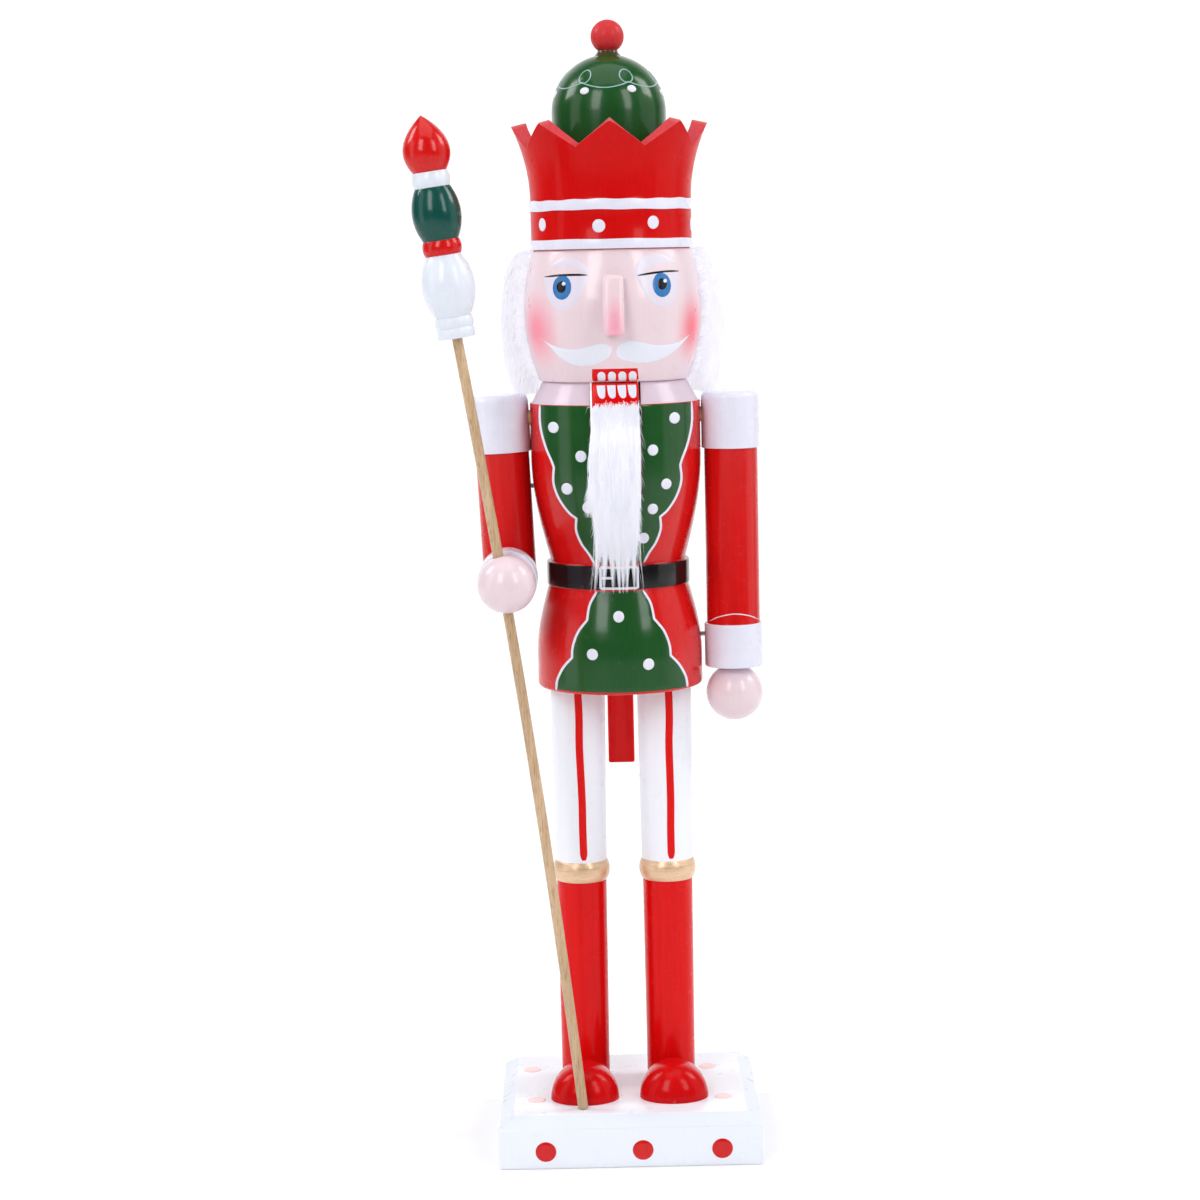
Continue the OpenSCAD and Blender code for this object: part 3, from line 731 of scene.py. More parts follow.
def build_base():
    low, high = span("base")
    bm = bmesh.new()
    levels = [(low.z, 0), (high.z - BEVEL_DROP, 0), (high.z, BEVEL_RUN)]
    rings = []
    for z, inset in levels:
        corners = [(low.x + inset, low.y + inset), (high.x - inset, low.y + inset),
                   (high.x - inset, high.y - inset), (low.x + inset, high.y - inset)]
        rings.append([bm.verts.new((x, y, z)) for x, y in corners])
    for level, (lower, upper) in enumerate(zip(rings, rings[1:])):
        for i in range(4):
            j = (i + 1) % 4
            bm.faces.new((lower[i], lower[j], upper[j], upper[i])).material_index = level
    bm.faces.new(rings[0])
    bm.faces.new(rings[-1])
    # The sloped bevel gets the darker copy of the white, as painted shade.
    board = publish("base_board", bm, [BASE_PAINT, BEVEL_SHADE_PAINT], ["base"])
    ease_edges(board, 0.9, angle=20)
    screws = middle("leg_screws")
    sink = []
    for side in (-1, 1):
        bm = bmesh.new()
        lathe_into(bm, [(SCREW_HEAD_R, -2), (SCREW_HEAD_R, 1.8), (SCREW_R, 4.5), (SCREW_R, 40)],
                   side * LEG_X, screws.y, segments=40)
        sink.append(mesh_object("cutter", bm))
    carve(board, sink)

    def front(x, z, lift):
        return Vector((x, low.y - lift, z))

    def top(x, y, lift):
        return Vector((x, y, high.z + lift))

    with painted("base_front_dots", RED_PAINT, "white_paint") as bm:
        dot_z, dot_r = 9.4, 5.4
        for x in (-45.0, 6.2, 48.0):
            dot(bm, x, dot_z, dot_r, front, squash=1.02)
    with painted("base_top_dots", PALE_TOP_RED, "white_paint") as bm:
        for x, y in ((-50, AXIS_Y - 36), (50.5, AXIS_Y - 36), (-53.5, AXIS_Y + 20), (44, AXIS_Y + 20)):
            dot(bm, x, y, 4.9, top)


KNEE_LOW = BASE_TOP + 113.2
KNEE_HIGH = KNEE_LOW + 11.1
KNEE_R, KNEE_SWELL = 15.4, 1.5
BOOT_R = 13
FIT = 0.05
LEG_OUTLINE = [(0, BASE_TOP), (BOOT_R, BASE_TOP), (13.5, KNEE_LOW)]
LEG_OUTLINE += [(KNEE_R - KNEE_SWELL * abs(2 * t - 1) ** 2.2, KNEE_LOW + (KNEE_HIGH - KNEE_LOW) * t)
                for t in shares(20)]
LEG_OUTLINE += [(13.9, KNEE_HIGH), (14.7, LEG_TOP), (0, LEG_TOP)]
LEG_OUTLINE = round_corners(LEG_OUTLINE, 0.5)


def build_leg(side, name):
    x = side * LEG_X

    def paint_at(z):
        if z < KNEE_LOW:
            return 0
        return 1 if z < KNEE_HIGH - 0.2 else 2

    lathe(name + "_turning", LEG_OUTLINE, [BOOT_RED, GOLD_PAINT, TROUSER_PAINT], "leg_paint", [name],
          x=x, paint_at=paint_at)
    wander = [0.0, 0.25, -0.15, 0.1, 0.3, 0.1, 0.2]
    start, drift = (2.0, -0.3) if side > 0 else (0.1, 1.2)
    top, foot = LEG_TOP - 0.6, KNEE_HIGH + 1.6
    path = [(start + drift * i / 6 + w, top + (foot - top) * i / 6) for i, w in enumerate(wander)]
    with painted(name + "_stripe", BOOT_RED, "leg_paint") as bm:
        stroke(bm, smooth(path, 10), lambda t: 4.4 * min(1, 0.5 + 12 * (1 - t)),
               on_turning(LEG_OUTLINE, (x, AXIS_Y)), 0.2)


FOOT_R = 18.4
TOE_TO_WIDEST = 15
WIDEST_TO_HEEL = 38


def build_foot(side, name):
    """Half a turned egg, its back scooped around the boot."""
    low, high = span(name)
    egg = [(FOOT_R * sin(a), -TOE_TO_WIDEST * cos(a)) for a in sweep(90, 20)]
    egg += [(FOOT_R * cos(a), WIDEST_TO_HEEL * sin(a)) for a in sweep(50, 16, 1)]
    egg.append((0, egg[-1][1]))
    centre = Vector(((low.x + high.x) / 2, low.y + TOE_TO_WIDEST, BASE_TOP))
    foot = lathe(name + "_egg", egg, [FOOT_RED], "boot_red", [name], turn=placed(centre, -90, "X"))
    boot = cutter_rod(BOOT_R + FIT, 120, Matrix.Translation((side * LEG_X, AXIS_Y, BASE_TOP)), SEGMENTS)
    under = cutter_block((centre.x - 40, -90, BASE_TOP - 40), (centre.x + 40, 90, BASE_TOP + 0.02))
    carve(foot, [boot, under])
    ease_edges(foot, 0.5, angle=45)


# ---------------------------------------------------------------- torso

BELT_LOW = LEG_TOP + 55.2
BELT_HIGH = BELT_LOW + 12.6
COLLAR_LOW = TORSO_TOP - 11.5
SKIRT_R, WAIST_R, BELT_R, CHEST_R = 44.3, 36, 38.3, 45.4


def torso_outline():
    ts = shares(30)
    skirt = [(SKIRT_R - (SKIRT_R - WAIST_R - 1.4) * (1 - cos(pi / 2 * t)),
              LEG_TOP + 17 + t * (BELT_LOW - LEG_TOP - 17)) for t in ts]
    chest = [(WAIST_R + (CHEST_R - WAIST_R) * sin(pi / 2 * t), BELT_HIGH + 56 * t) for t in ts]
    hem = arc((SKIRT_R - 2, LEG_TOP + 2), 2, -90, 0, 6)
    belt = [(BELT_R, BELT_LOW), (BELT_R, BELT_HIGH)]
    collar = [(CHEST_R, COLLAR_LOW), (CHEST_R - 1, COLLAR_LOW), (CHEST_R - 7.3, TORSO_TOP), (0, TORSO_TOP)]
    return round_corners([(0, LEG_TOP)] + hem + skirt + belt + chest + collar, 0.7)


TORSO_OUTLINE = torso_outline()
TORSO_FRONT = on_turning(TORSO_OUTLINE)
SLOT_HALF = 13.25
SLOT_FLOOR = TORSO_TOP - 58.5

# The left edge of the green front, from the collar to the belt, and the skirt's, from the belt down.
# The right edges are their mirror images, moved a little to the right.
CHEST_EDGE = [
    [(39.6, COLLAR_LOW - 0.25), (39.6, 389), (37.2, 378.5), (33.8, 370.2), (32.8, 367.2)],
    [(32.8, 367.2), (33.2, 359), (30.6, 351), (25.8, 344), (21.6, 340.6)],
    [(21.6, 340.6), (21.8, 334), (19.2, 327), (15.4, 321.5), (12.6, BELT_HIGH + 1)],
]
SKIRT_EDGE = [
    [(11.6, BELT_LOW - 0.8), (15.6, 295), (17.2, 287)],
    [(17.2, 287), (22.2, 280.5), (25.0, 273), (25.6, 267)],
    [(25.6, 267), (30.2, 261.5), (33.6, 254.5), (34.4, LEG_TOP + 1.2)],
]
CHEST_DOTS = [(-32.6, 388.3), (-18.5, 373.5), (-26.2, 356.3), (-15.4, 346.6),
              (30.8, 392), (19, 376), (25.8, 357.8), (18.4, 345), (13.4, 329.7)]
SKIRT_DOTS = [(-0.6, 288.9), (-14.8, 269.3), (14.6, 263.5)]


def edge_path(runs, side, drift=0.0):
    return scallops(*[[(side * x + drift, z) for x, z in run] for run in runs])


def build_torso():
    def paint_at(z):
        if BELT_LOW < z < BELT_HIGH:
            return 1
        return 2 if z > COLLAR_LOW else 0

    body = lathe("torso_turning", TORSO_OUTLINE, [RED_PAINT, BLACK_PAINT, COLLAR_PAINT, SLOT_SHADE_RED],
                 "jacket_paint", ["torso"], segments=192, paint_at=paint_at)
    carve(body, [cutter_block((-SLOT_HALF, -90, SLOT_FLOOR), (SLOT_HALF, 110, TORSO_TOP + 5))])
    # The slot's walls and floor get the dark red, partly painted shade.
    for face in body.data.polygons:
        spot = face.center / MM
        on_wall = abs(face.normal.x) > 0.99 and abs(abs(spot.x) - SLOT_HALF) < 0.01
        if on_wall or abs(spot.z - SLOT_FLOOR) < 0.01:
            face.material_index = 3

    left_chest, right_chest = edge_path(CHEST_EDGE, -1), edge_path(CHEST_EDGE, 1, 0.6)
    left_skirt, right_skirt = edge_path(SKIRT_EDGE, -1), edge_path(SKIRT_EDGE, 1, 0.8)

    with painted("jacket_green", GREEN_PAINT, "jacket_paint") as bm:
        gap, top, floor = SLOT_HALF + 0.05, COLLAR_LOW - 0.25, SLOT_FLOOR - 0.3
        slot = [Vector(p) for p in ((gap, top), (gap, floor), (-gap, floor), (-gap, top))]
        film(bm, left_chest + right_chest[::-1] + slot, TORSO_FRONT)
        film(bm, left_skirt + right_skirt[::-1], TORSO_FRONT)
    with painted("jacket_piping", WHITE_PAINT, "jacket_paint") as bm:
        for path in (left_chest, right_chest, left_skirt, right_skirt):
            stroke(bm, path, taper(1.35, 0.03), TORSO_FRONT, 0.34)
    with painted("jacket_dots", WHITE_PAINT, "jacket_paint") as bm:
        for i, (x, z) in enumerate(CHEST_DOTS + SKIRT_DOTS):
            dot(bm, x, z, 3.05 + 0.12 * sin(7 * i), TORSO_FRONT, lift=0.42, squash=0.96)
    with painted("belt_buckle", WHITE_PAINT, "jacket_paint") as bm:
        left, right, low, high = -9.6, 9.8, BELT_LOW + 0.7, BELT_HIGH - 0.7
        mid = (low + high) / 2
        for *a, c, d in ((left, low, left, high), (left, high, right, high), (right, high, right, low),
                         (right, low, left, low), (left, mid, left + 6.5, mid)):
            a, b = Vector(a), Vector((c, d))
            stroke(bm, [a + (b - a) * i / 8 for i in range(9)], 1.5, TORSO_FRONT, 0.35)


# ---------------------------------------------------------------- jaw

PIVOT = Vector(frame["joints"][0]["pos_m"]) / MM
PIN_R = 2


def build_jaw():
    low, high = span("jaw_block")
    lip, lip_drop = 3.7, 12.1
    outline = [(low.y + lip, high.z), (low.y, high.z - lip_drop), (low.y, low.z), (high.y, low.z),
               (high.y, high.z)]
    prism("jaw_block_wood", outline, high.x - low.x, BOOT_RED, ["jaw_block"], "jaw")

    def lip_face(x, z, lift):
        t = (high.z - z) / lip_drop
        return Vector((x, low.y + lip * (1 - t) - lift, z))

    with painted("lower_teeth", FACE_WHITE, "jaw_red", "jaw") as bm:
        top = high.z - 0.9
        side = smooth([(2.1, 0), (2.05, -2.6), (1.75, -5)], 6)
        tip = [Vector((0.1, -5.2)) + Vector((1.65 * cos(a), 1.6 * sin(a)))
               for a in (radians(-15 * i) for i in range(1, 12))]
        tooth = side + tip + [Vector((-0.2 - p.x, p.y)) for p in side[::-1]]
        for x, lean in ((-7.3, 0.5), (-1.9, 0.5), (3.4, 0.7), (8.8, 0.5)):
            film(bm, [(x + p.x - lean * p.y / 7, top + p.y) for p in tooth], lip_face, 0.2, grid=1.0, rim=0.3)


def build_lever():
    low, high = span("jaw_lever")
    front, tail_out = low.y, high.y
    tail_in = tail_out - 9
    z = PIVOT.z
    outline = [
        (front, z - 4), (front, z + 20), (front + 9, z + 14), (tail_in - 2, z - 3), (tail_in + 4, z - 6),
        (tail_out, z - 13), (tail_out, low.z), (tail_in, low.z), (tail_in, z - 24), (AXIS_Y + 2, z - 10)
    ]
    lever = prism("jaw_lever_board", outline, high.x - low.x, BOOT_RED, ["jaw_lever"], "jaw", 1.1)
    carve(lever, [cutter_rod(PIN_R + FIT, 40, placed((0, PIVOT.y, PIVOT.z), 90, "Y"))])


# ---------------------------------------------------------------- head

HEAD_OUTLINE = round_corners(
    [(0, TORSO_TOP)] + swell_line((39.7, TORSO_TOP), (41.6, HEAD_TOP), 6.7) + [(0, HEAD_TOP)], 0.9)
FACE = on_turning(HEAD_OUTLINE)

BROW_L = [(-32.8, 471.6), (-28.4, 475), (-23.2, 476.4), (-17.8, 475), (-13.8, 471.6), (-12.4, 467.6),
          (-14.6, 467.2), (-18.4, 470), (-23, 471.8), (-27.8, 472)]
BROW_R = [(11.6, 466.8), (12.2, 471.8), (15.8, 475.8), (22, 477.6), (28.6, 475.8), (34.4, 471.8),
          (28.4, 472.2), (22.4, 471.2), (17.4, 469), (13.6, 466.4)]
EYE_L = [(-35.2, 466.4), (-34.8, 459.4), (-32.6, 453.4), (-28.2, 449.2), (-23.2, 450.2), (-18.2, 454.2),
         (-15, 460), (-13, 466), (-18, 466.9), (-27, 466.9)]
EYE_R = [(12.6, 466.4), (15.2, 459.4), (18.8, 453.6), (23.8, 450.2), (28.6, 450.6), (32.6, 454.4),
         (34, 460.4), (34, 467.2), (28, 467.8), (20, 467.2)]
MOUSTACHE_L = [(-38.9, 435.2), (-33.6, 430.6), (-29, 425.4), (-23, 421.6), (-16.2, 420.2), (-9.2, 421.4),
               (-4.0, 424), (-1.5, 427.4), (-2.4, 430.4), (-6.4, 431.8), (-12, 430.8), (-18.4, 429.2),
               (-25.6, 429.3), (-32.6, 431.4)]
MOUSTACHE_R = [(39.4, 434.8), (34.2, 431.6), (27.8, 430.3), (20.6, 430.5), (14.4, 431.9), (8.6, 433),
               (3.2, 431.6), (1.0, 428.2), (1.6, 425.2), (5.2, 423), (12.2, 421.5), (20.4, 421.9),
               (28.2, 424.8), (34.4, 429.2)]


def build_head():
    lathe("head_turning", HEAD_OUTLINE, [SKIN_PAINT], "face_paint", ["head"], segments=192)
    for name, material, shapes in (("eyes_and_brows", EYE_WHITE, (BROW_L, BROW_R, EYE_L, EYE_R)),
                                   ("moustache", FACE_WHITE, (MOUSTACHE_L, MOUSTACHE_R))):
        with painted(name, material, "face_paint") as bm:
            for shape in shapes:
                film(bm, smooth(shape, 5, closed=True), FACE, 0.09, grid=2.0)
    with painted("irises", BLUE_PAINT, "face_paint") as bm:
        for x, z, lean in ((-26.3, 461.0, -0.12), (25.3, 461.3, 0.1)):
            film(bm, ellipse(x, z, 5.0, 6.5, lean), FACE, 0.15, grid=1.4)
    with painted("pupils_and_lids", BLACK_PAINT, "face_paint") as bm:
        for x, z in ((-26.7, 461.3), (25.5, 461.8)):
            film(bm, ellipse(x, z, 2.65, 3.25), FACE, 0.2, grid=1.0)
        for lid in ([(-35.2, 466.6), (-28, 467.3), (-20, 467.4), (-13.2, 467.2)],
                    [(12.8, 466.4), (20, 467.4), (28, 468.2), (34.4, 468.2)]):
            stroke(bm, smooth(lid, 8), taper(1.15, 0.2), FACE, 0.3)
    with painted("eye_glints", FACE_WHITE, "face_paint") as bm:
        for x, z in ((-25.4, 462.9), (27.0, 463.3)):
            dot(bm, x, z, 1.2, FACE, lift=0.27)
    with painted("mouth_red", BOOT_RED, "face_paint") as bm:
        left, right, low, high = -11.9, 12.3, TORSO_TOP + 0.3, TORSO_TOP + 7.2
        film(bm, [(left, low), (right + 0.3, low), (right - 0.4, high), (left + 0.1, high)], FACE)
    with painted("upper_teeth", FACE_WHITE, "face_paint") as bm:
        for x in (-6.9, -1.5, 3.9, 9.3):
            foot = [(x - 2.0, TORSO_TOP + 0.4), (x + 2.0, TORSO_TOP + 0.4)]
            film(bm, arc((x, TORSO_TOP + 3.6), 2.2, 0, 180, 16) + foot, FACE, 0.2, grid=1.2, rim=0.3)


def build_nose():
    low, high = span("nose")
    bridge = low.y + 7
    outline = [(high.y, low.z), (low.y, low.z), (low.y, low.z + 4.5), (bridge, high.z), (high.y, high.z)]
    prism("nose_wedge", outline, high.x - low.x, NOSE_PAINT, ["nose"], ease=2.4)


# ---------------------------------------------------------------- crown, dome and knob

CROWN_R, CROWN_TIP_R, CROWN_WALL, CROWN_POINTS = 42.6, 52, 8.5, 8
CROWN_RIM = HEAD_TOP + 65.3
NOTCH, NOTCH_SLOPE = 13.9, radians(11)
RIDGE_TOP, RIDGE_EASE = 1.02, 0.03
WALL_ROWS, BOWL_ROWS = 14, 8
BAND = 0.6
FLARE_LOW = HEAD_TOP + 25.5
CROWN_FLOOR = HEAD_TOP + 39.5
BOWL_FOOT_R = 36.2


def crown_outer(z):
    t = max(0, (z - FLARE_LOW) / (CROWN_RIM - FLARE_LOW))
    return CROWN_R + (CROWN_TIP_R - CROWN_R) * t ** 2


def crown_inner(z):
    t = (z - CROWN_FLOOR) / (CROWN_RIM + 1 - CROWN_FLOOR)
    return BOWL_FOOT_R + (CROWN_TIP_R - CROWN_WALL - BOWL_FOOT_R) * t


def rim_point(wall, off):
    """Where the sawn rim meets a wall, as (radius, height), off radians from the middle of a notch."""
    share = abs(tan(off)) / tan(pi / CROWN_POINTS)
    share = RIDGE_TOP - hypot(RIDGE_TOP - share, RIDGE_EASE)
    z = CROWN_RIM
    for _ in range(10):
        r = wall(z)
        z = CROWN_RIM - NOTCH * (1 - share) + (CROWN_TIP_R - r) * tan(NOTCH_SLOPE)
    return r, z


def build_crown():
    """Rings of quads around the axis: up the outside, over the pointed rim and down into the bowl."""
    steps = 24
    columns = []
    for i in range(CROWN_POINTS * steps):
        angle = 2 * pi * i / (CROWN_POINTS * steps)
        off = (i / steps % 1 - 0.5) * 2 * pi / CROWN_POINTS
        outer, tip = rim_point(crown_outer, off)
        inner, inner_tip = rim_point(crown_inner, off)
        low_edge = HEAD_TOP + 5 + 0.25 * sin(5 * angle + 1) * sin(3 * angle)
        high_edge = HEAD_TOP + 20 + 0.3 * sin(7 * angle) * sin(4 * angle + 2)
        flare_edge = FLARE_LOW + 0.35 * sin(6 * angle + 2) * sin(11 * angle)
        band_r = CROWN_R + BAND
        low = [(band_r, HEAD_TOP), (band_r, low_edge), (CROWN_R, low_edge), (CROWN_R, high_edge),
               (band_r, high_edge), (band_r, flare_edge), (CROWN_R, flare_edge)]
        low = round_corners([(0, HEAD_TOP)] + low + [(CROWN_R, FLARE_LOW + 1.2)], 0.35, 2)
        wall = [FLARE_LOW + 1.2 + (tip - FLARE_LOW - 2.2) * k / WALL_ROWS for k in range(1, WALL_ROWS + 1)]
        wall = [(crown_outer(z), z) for z in wall]
        rim = [(outer - 0.1, tip - 0.35), (outer - 0.45, tip - 0.02), (inner + 0.5, inner_tip - 0.02),
               (inner + 0.1, inner_tip - 0.35)]
        drop = CROWN_FLOOR - inner_tip + 0.5
        bowl = [inner_tip - 0.5 + drop * k / BOWL_ROWS for k in range(1, BOWL_ROWS + 1)]
        bowl = [(crown_inner(z), z) for z in bowl]
        columns.append((angle, low[1:] + wall + rim + bowl))
    bm = bmesh.new()
    grid = []
    for angle, column in columns:
        a = angle + pi / 2
        grid.append([bm.verts.new((r * cos(a), AXIS_Y + r * sin(a), z)) for r, z in column])
    n, m = len(grid), len(grid[0])
    rim_start = m - len(rim) - BOWL_ROWS
    low_count = rim_start - WALL_ROWS
    for i in range(n):
        for k in range(m - 1):
            face = bm.faces.new((grid[i][k], grid[(i + 1) % n][k], grid[(i + 1) % n][k + 1], grid[i][k + 1]))
            out_r = min(columns[i][1][k][0], columns[i][1][k + 1][0])
            face.material_index = 1 if k < low_count and out_r > CROWN_R + 0.1 else 0
            # The rim's top faces get the paler red, partly painted highlight.
            if k in (rim_start, rim_start + 1):
                face.material_index = 2
    bm.faces.new([column[0] for column in grid])
    bm.faces.new([column[-1] for column in grid])
    publish("crown_turning", bm, [CROWN_RED, WHITE_PAINT, SAWN_LIT_RED], ["crown"], sharp=24)
    band = on_turning([(CROWN_R, HEAD_TOP), (CROWN_R, CROWN_TOP)])
    with painted("crown_dots", WHITE_PAINT, "crown_red") as bm:
        for k, angle in enumerate((-58, -9, 30.5, 82, 128, 172, 216, 261)):
            dot(bm, 0, HEAD_TOP + 12.4 + 0.9 * sin(3 * k + 1), 3.4, turned_by(band, angle), lift=0.25)


DOME_R = 30.2
DOME_MID = HEAD_TOP + 71.2
KNOB_R = 8.8
KNOB_MID = KNOB_TOP - KNOB_R
NECK_FOOT_R, NECK_R = 7.3, 5.2
NECK_TOP = KNOB_MID - sqrt(KNOB_R ** 2 - NECK_R ** 2)


GARLAND_R = 24
GARLAND_LOOPS = 7
GARLAND_Z = 565.8


def build_dome():
    foot = degrees(acos(NECK_FOOT_R / DOME_R))
    neck_foot = DOME_MID + sqrt(DOME_R ** 2 - NECK_FOOT_R ** 2)
    neck = [(NECK_FOOT_R + (NECK_R - NECK_FOOT_R) * sin(pi / 2 * t), neck_foot + (NECK_TOP - neck_foot) * t)
            for t in shares(6, 1)]
    outline = [(0, CROWN_FLOOR), (DOME_R, CROWN_FLOOR)] + arc((0, DOME_MID), DOME_R, 0, foot, 40)
    lathe("dome_turning", round_corners(outline + neck + [(0, NECK_TOP)], 0.5), [DOME_PAINT], "dome_green",
          ["dome"], segments=128)

    def on_dome(x, z, lift):
        angle = x / GARLAND_R
        r = sqrt(max(0, (DOME_R + lift) ** 2 - (z - DOME_MID) ** 2))
        return Vector((r * sin(angle), AXIS_Y - r * cos(angle), z))

    pitch, line = GARLAND_R * 2 * pi / GARLAND_LOOPS, 0.62
    with painted("dome_garland", PALE_BLUE_PAINT, "dome_green") as bm:
        for k in range(GARLAND_LOOPS):
            start = (k - 0.5) * pitch - 1.6
            sway = 0.6 * sin(2.3 * k)
            path = [(start + pitch * t, GARLAND_Z - 2.6 * sin(pi * t) + sway) for t in shares(48)]
            stroke(bm, path, line, on_dome, 0.16)
            loop = [(start + 3.1 * sin(a) * (1 + 0.12 * sin(k)), GARLAND_Z + 3.5 - 3.5 * cos(a))
                    for a in sweep(360, 30)]
            stroke(bm, loop, line, on_dome, 0.2)
    with painted("dome_dots", WHITE_PAINT, "dome_green") as bm:
        for k in range(GARLAND_LOOPS):
            dot(bm, (k - 0.5) * pitch - 0.2, GARLAND_Z - 4 + 0.7 * sin(2 * k), 1.9, on_dome, lift=0.35,
                squash=1.15)


def build_knob():
    start = -degrees(acos(NECK_R / KNOB_R))
    ball = arc((0, KNOB_MID), KNOB_R, start, 90, 40)
    tenon = [(0, NECK_TOP - 12), (2.5, NECK_TOP - 12), (2.5, NECK_TOP)]
    lathe("knob_ball", tenon + ball[:-1] + [(0, KNOB_TOP)], [KNOB_RED], "knob_red", ["knob"], segments=72)


# ---------------------------------------------------------------- arms and hands

ARM_X = middle("left_arm").x
ARM_TOP = span("left_arm")[1].z
ARM_FOOT = span("left_arm")[0].z
SLEEVE_R, CUFF_R, HAND_R = 14.3, 15.6, 15.2
EPAULETTE_FOOT = ARM_TOP - 30.5
CUFF_TOP = ARM_FOOT + 23.5
FOREARM_Z = BASE_TOP + 282.7
HAND_LAP = 0.6
HAND_Y = span("right_hand")[0].y + HAND_R
ARM_TILT = 2.3
SHOULDER_Z = TORSO_TOP - 19.5


def lean_in(piece):
    """Leans a piece of the bent arm in from its shoulder."""
    shoulder = Matrix.Translation(Vector((-ARM_X, AXIS_Y, SHOULDER_Z)) * MM)
    piece.data.transform(shoulder @ Matrix.Rotation(radians(-ARM_TILT), 4, "Y") @ shoulder.inverted())


def epaulette():
    top = arc((CUFF_R - 4, ARM_TOP - 4), 4, 0, 90, 8)
    return [(SLEEVE_R, EPAULETTE_FOOT), (CUFF_R, EPAULETTE_FOOT)] + top + [(0, ARM_TOP)]


def build_left_arm():
    outline = [(0, ARM_FOOT), (CUFF_R, ARM_FOOT), (CUFF_R, CUFF_TOP), (SLEEVE_R, CUFF_TOP)] + epaulette()

    def paint_at(z):
        return 1 if z < CUFF_TOP or z > EPAULETTE_FOOT else 0

    lathe("left_arm_turning", round_corners(outline, 0.9), [RED_PAINT, WHITE_PAINT], "sleeve_paint",
          ["left_arm"], x=ARM_X, paint_at=paint_at)
    with painted("left_cuff_line", WHITE_PAINT, "sleeve_paint") as bm:
        path = [(-13.2, CUFF_TOP + 1.4), (-8, CUFF_TOP + 4.4), (0, CUFF_TOP + 6), (8, CUFF_TOP + 4.6),
                (13.2, CUFF_TOP + 1.8)]
        sleeve = on_turning([(SLEEVE_R, ARM_FOOT), (SLEEVE_R, ARM_TOP)], (ARM_X, AXIS_Y))
        stroke(bm, smooth(path, 8), taper(0.6), sleeve, 0.2)


def ball_outline(top):
    """A hand's ball about its own middle, cut flat at a height."""
    ball = arc((0, 0), HAND_R, -90, degrees(asin(top / HAND_R)), 48)
    return [(0, -HAND_R)] + ball[1:] + [(0, top)]


def build_left_hand():
    z = ARM_FOOT - HAND_R + HAND_LAP
    outline = [(r, z + h) for r, h in ball_outline(ARM_FOOT - z)]
    lathe("left_hand_ball", outline, [SKIN_PAINT], "hand_paint", ["left_hand"], x=ARM_X)


def build_right_arm():
    outline = [(0, FOREARM_Z - 2 * SLEEVE_R), (SLEEVE_R, FOREARM_Z - 2 * SLEEVE_R)] + epaulette()

    def paint_at(z):
        return 1 if z > EPAULETTE_FOOT else 0

    upper = lathe("right_upper_arm_turning", round_corners(outline, 0.9), [RED_PAINT, WHITE_PAINT],
                  "sleeve_paint", ["right_upper_arm"], x=-ARM_X, paint_at=paint_at)
    cuff_front = HAND_Y + HAND_R - HAND_LAP
    cuff_back = cuff_front + 19.5
    start = AXIS_Y + 2 * SLEEVE_R
    length = start - cuff_front
    red = start - cuff_back
    fore = [(0, 0), (SLEEVE_R, 0), (SLEEVE_R, red), (CUFF_R, red), (CUFF_R, length), (0, length)]
    forearm = lathe("right_forearm_turning", round_corners(fore, 0.9), [RED_PAINT, WHITE_PAINT],
                    "sleeve_paint", ["right_forearm"], paint_at=lambda z: 1 if z > red else 0,
                    turn=placed((-ARM_X, start, FOREARM_Z), 90, "X"))
    elbow = placed((-ARM_X, AXIS_Y, FOREARM_Z), -45, "X")
    for piece, side in ((upper, -1), (forearm, 1)):
        bm = bmesh.new()
        bmesh.ops.create_cube(bm, size=160)
        bmesh.ops.translate(bm, vec=(0, 0, side * 80), verts=bm.verts)
        bmesh.ops.transform(bm, matrix=elbow, verts=bm.verts)
        carve(piece, [mesh_object("cutter", bm)])
        lean_in(piece)


STAFF_DIR = Vector(frame["joints"][2]["axis"]).normalized()
STAFF_TILT = STAFF_DIR.to_track_quat("Z", "Y").to_matrix().to_4x4()
GRIP_R = 3.4


def build_right_hand():
    hand = lathe("right_hand_ball", ball_outline(HAND_R - HAND_LAP), [SKIN_PAINT], "hand_paint",
                 ["right_hand"], turn=placed((-ARM_X, HAND_Y, FOREARM_Z), -90, "X"))
    lean_in(hand)
    carve(hand, [cutter_rod(GRIP_R, 80, Matrix.Translation(staff_point_at(FOREARM_Z)) @ STAFF_TILT)])


# ---------------------------------------------------------------- staff

ROD_R = 2.7
ROD_L = 413.5
STAFF_FOOT = Vector((-25, AXIS_Y - 53, BASE_TOP + 0.4))
FINIAL_L = 113
# Turned sections from the bottom up: radius at both ends, swell, top as a share of the length, and paint.
FINIAL_PAINTS = [FINIAL_WHITE, RED_PAINT, TEAL_PAINT]
FINIAL_SECTIONS = [(9.2, 0.6, 0.047, 0), (9.3, 0.6, 0.095, 0), (8.9, 4.8, 0.375, 0), (9.2, 0.9, 0.442, 1),
                   (9.1, 3.5, 0.679, 2), (9.0, 0.9, 0.749, 0)]
BUD_R, BUD_FOOT_R, BUD_WIDE = 12.1, 8.6, 0.35


def bud_at(t):
    """Half width of the pointed bud, t of the way up it."""
    if t < BUD_WIDE:
        return BUD_R - (BUD_R - BUD_FOOT_R) * (1 - t / BUD_WIDE) ** 2
    return BUD_R - BUD_R * ((t - BUD_WIDE) / (1 - BUD_WIDE)) ** 2


STAFF_BOW = 3.4


def bow(z):
    """How far the staff, which isn't quite straight, stands off its line to the side."""
    share = (z - STAFF_FOOT.z) / (ROD_L * STAFF_DIR.z)
    return STAFF_BOW * max(0, 1 - (2 * share - 1) ** 2)


def staff_point_at(z):
    return STAFF_FOOT + STAFF_DIR * ((z - STAFF_FOOT.z) / STAFF_DIR.z) + Vector((bow(z), 0, 0))


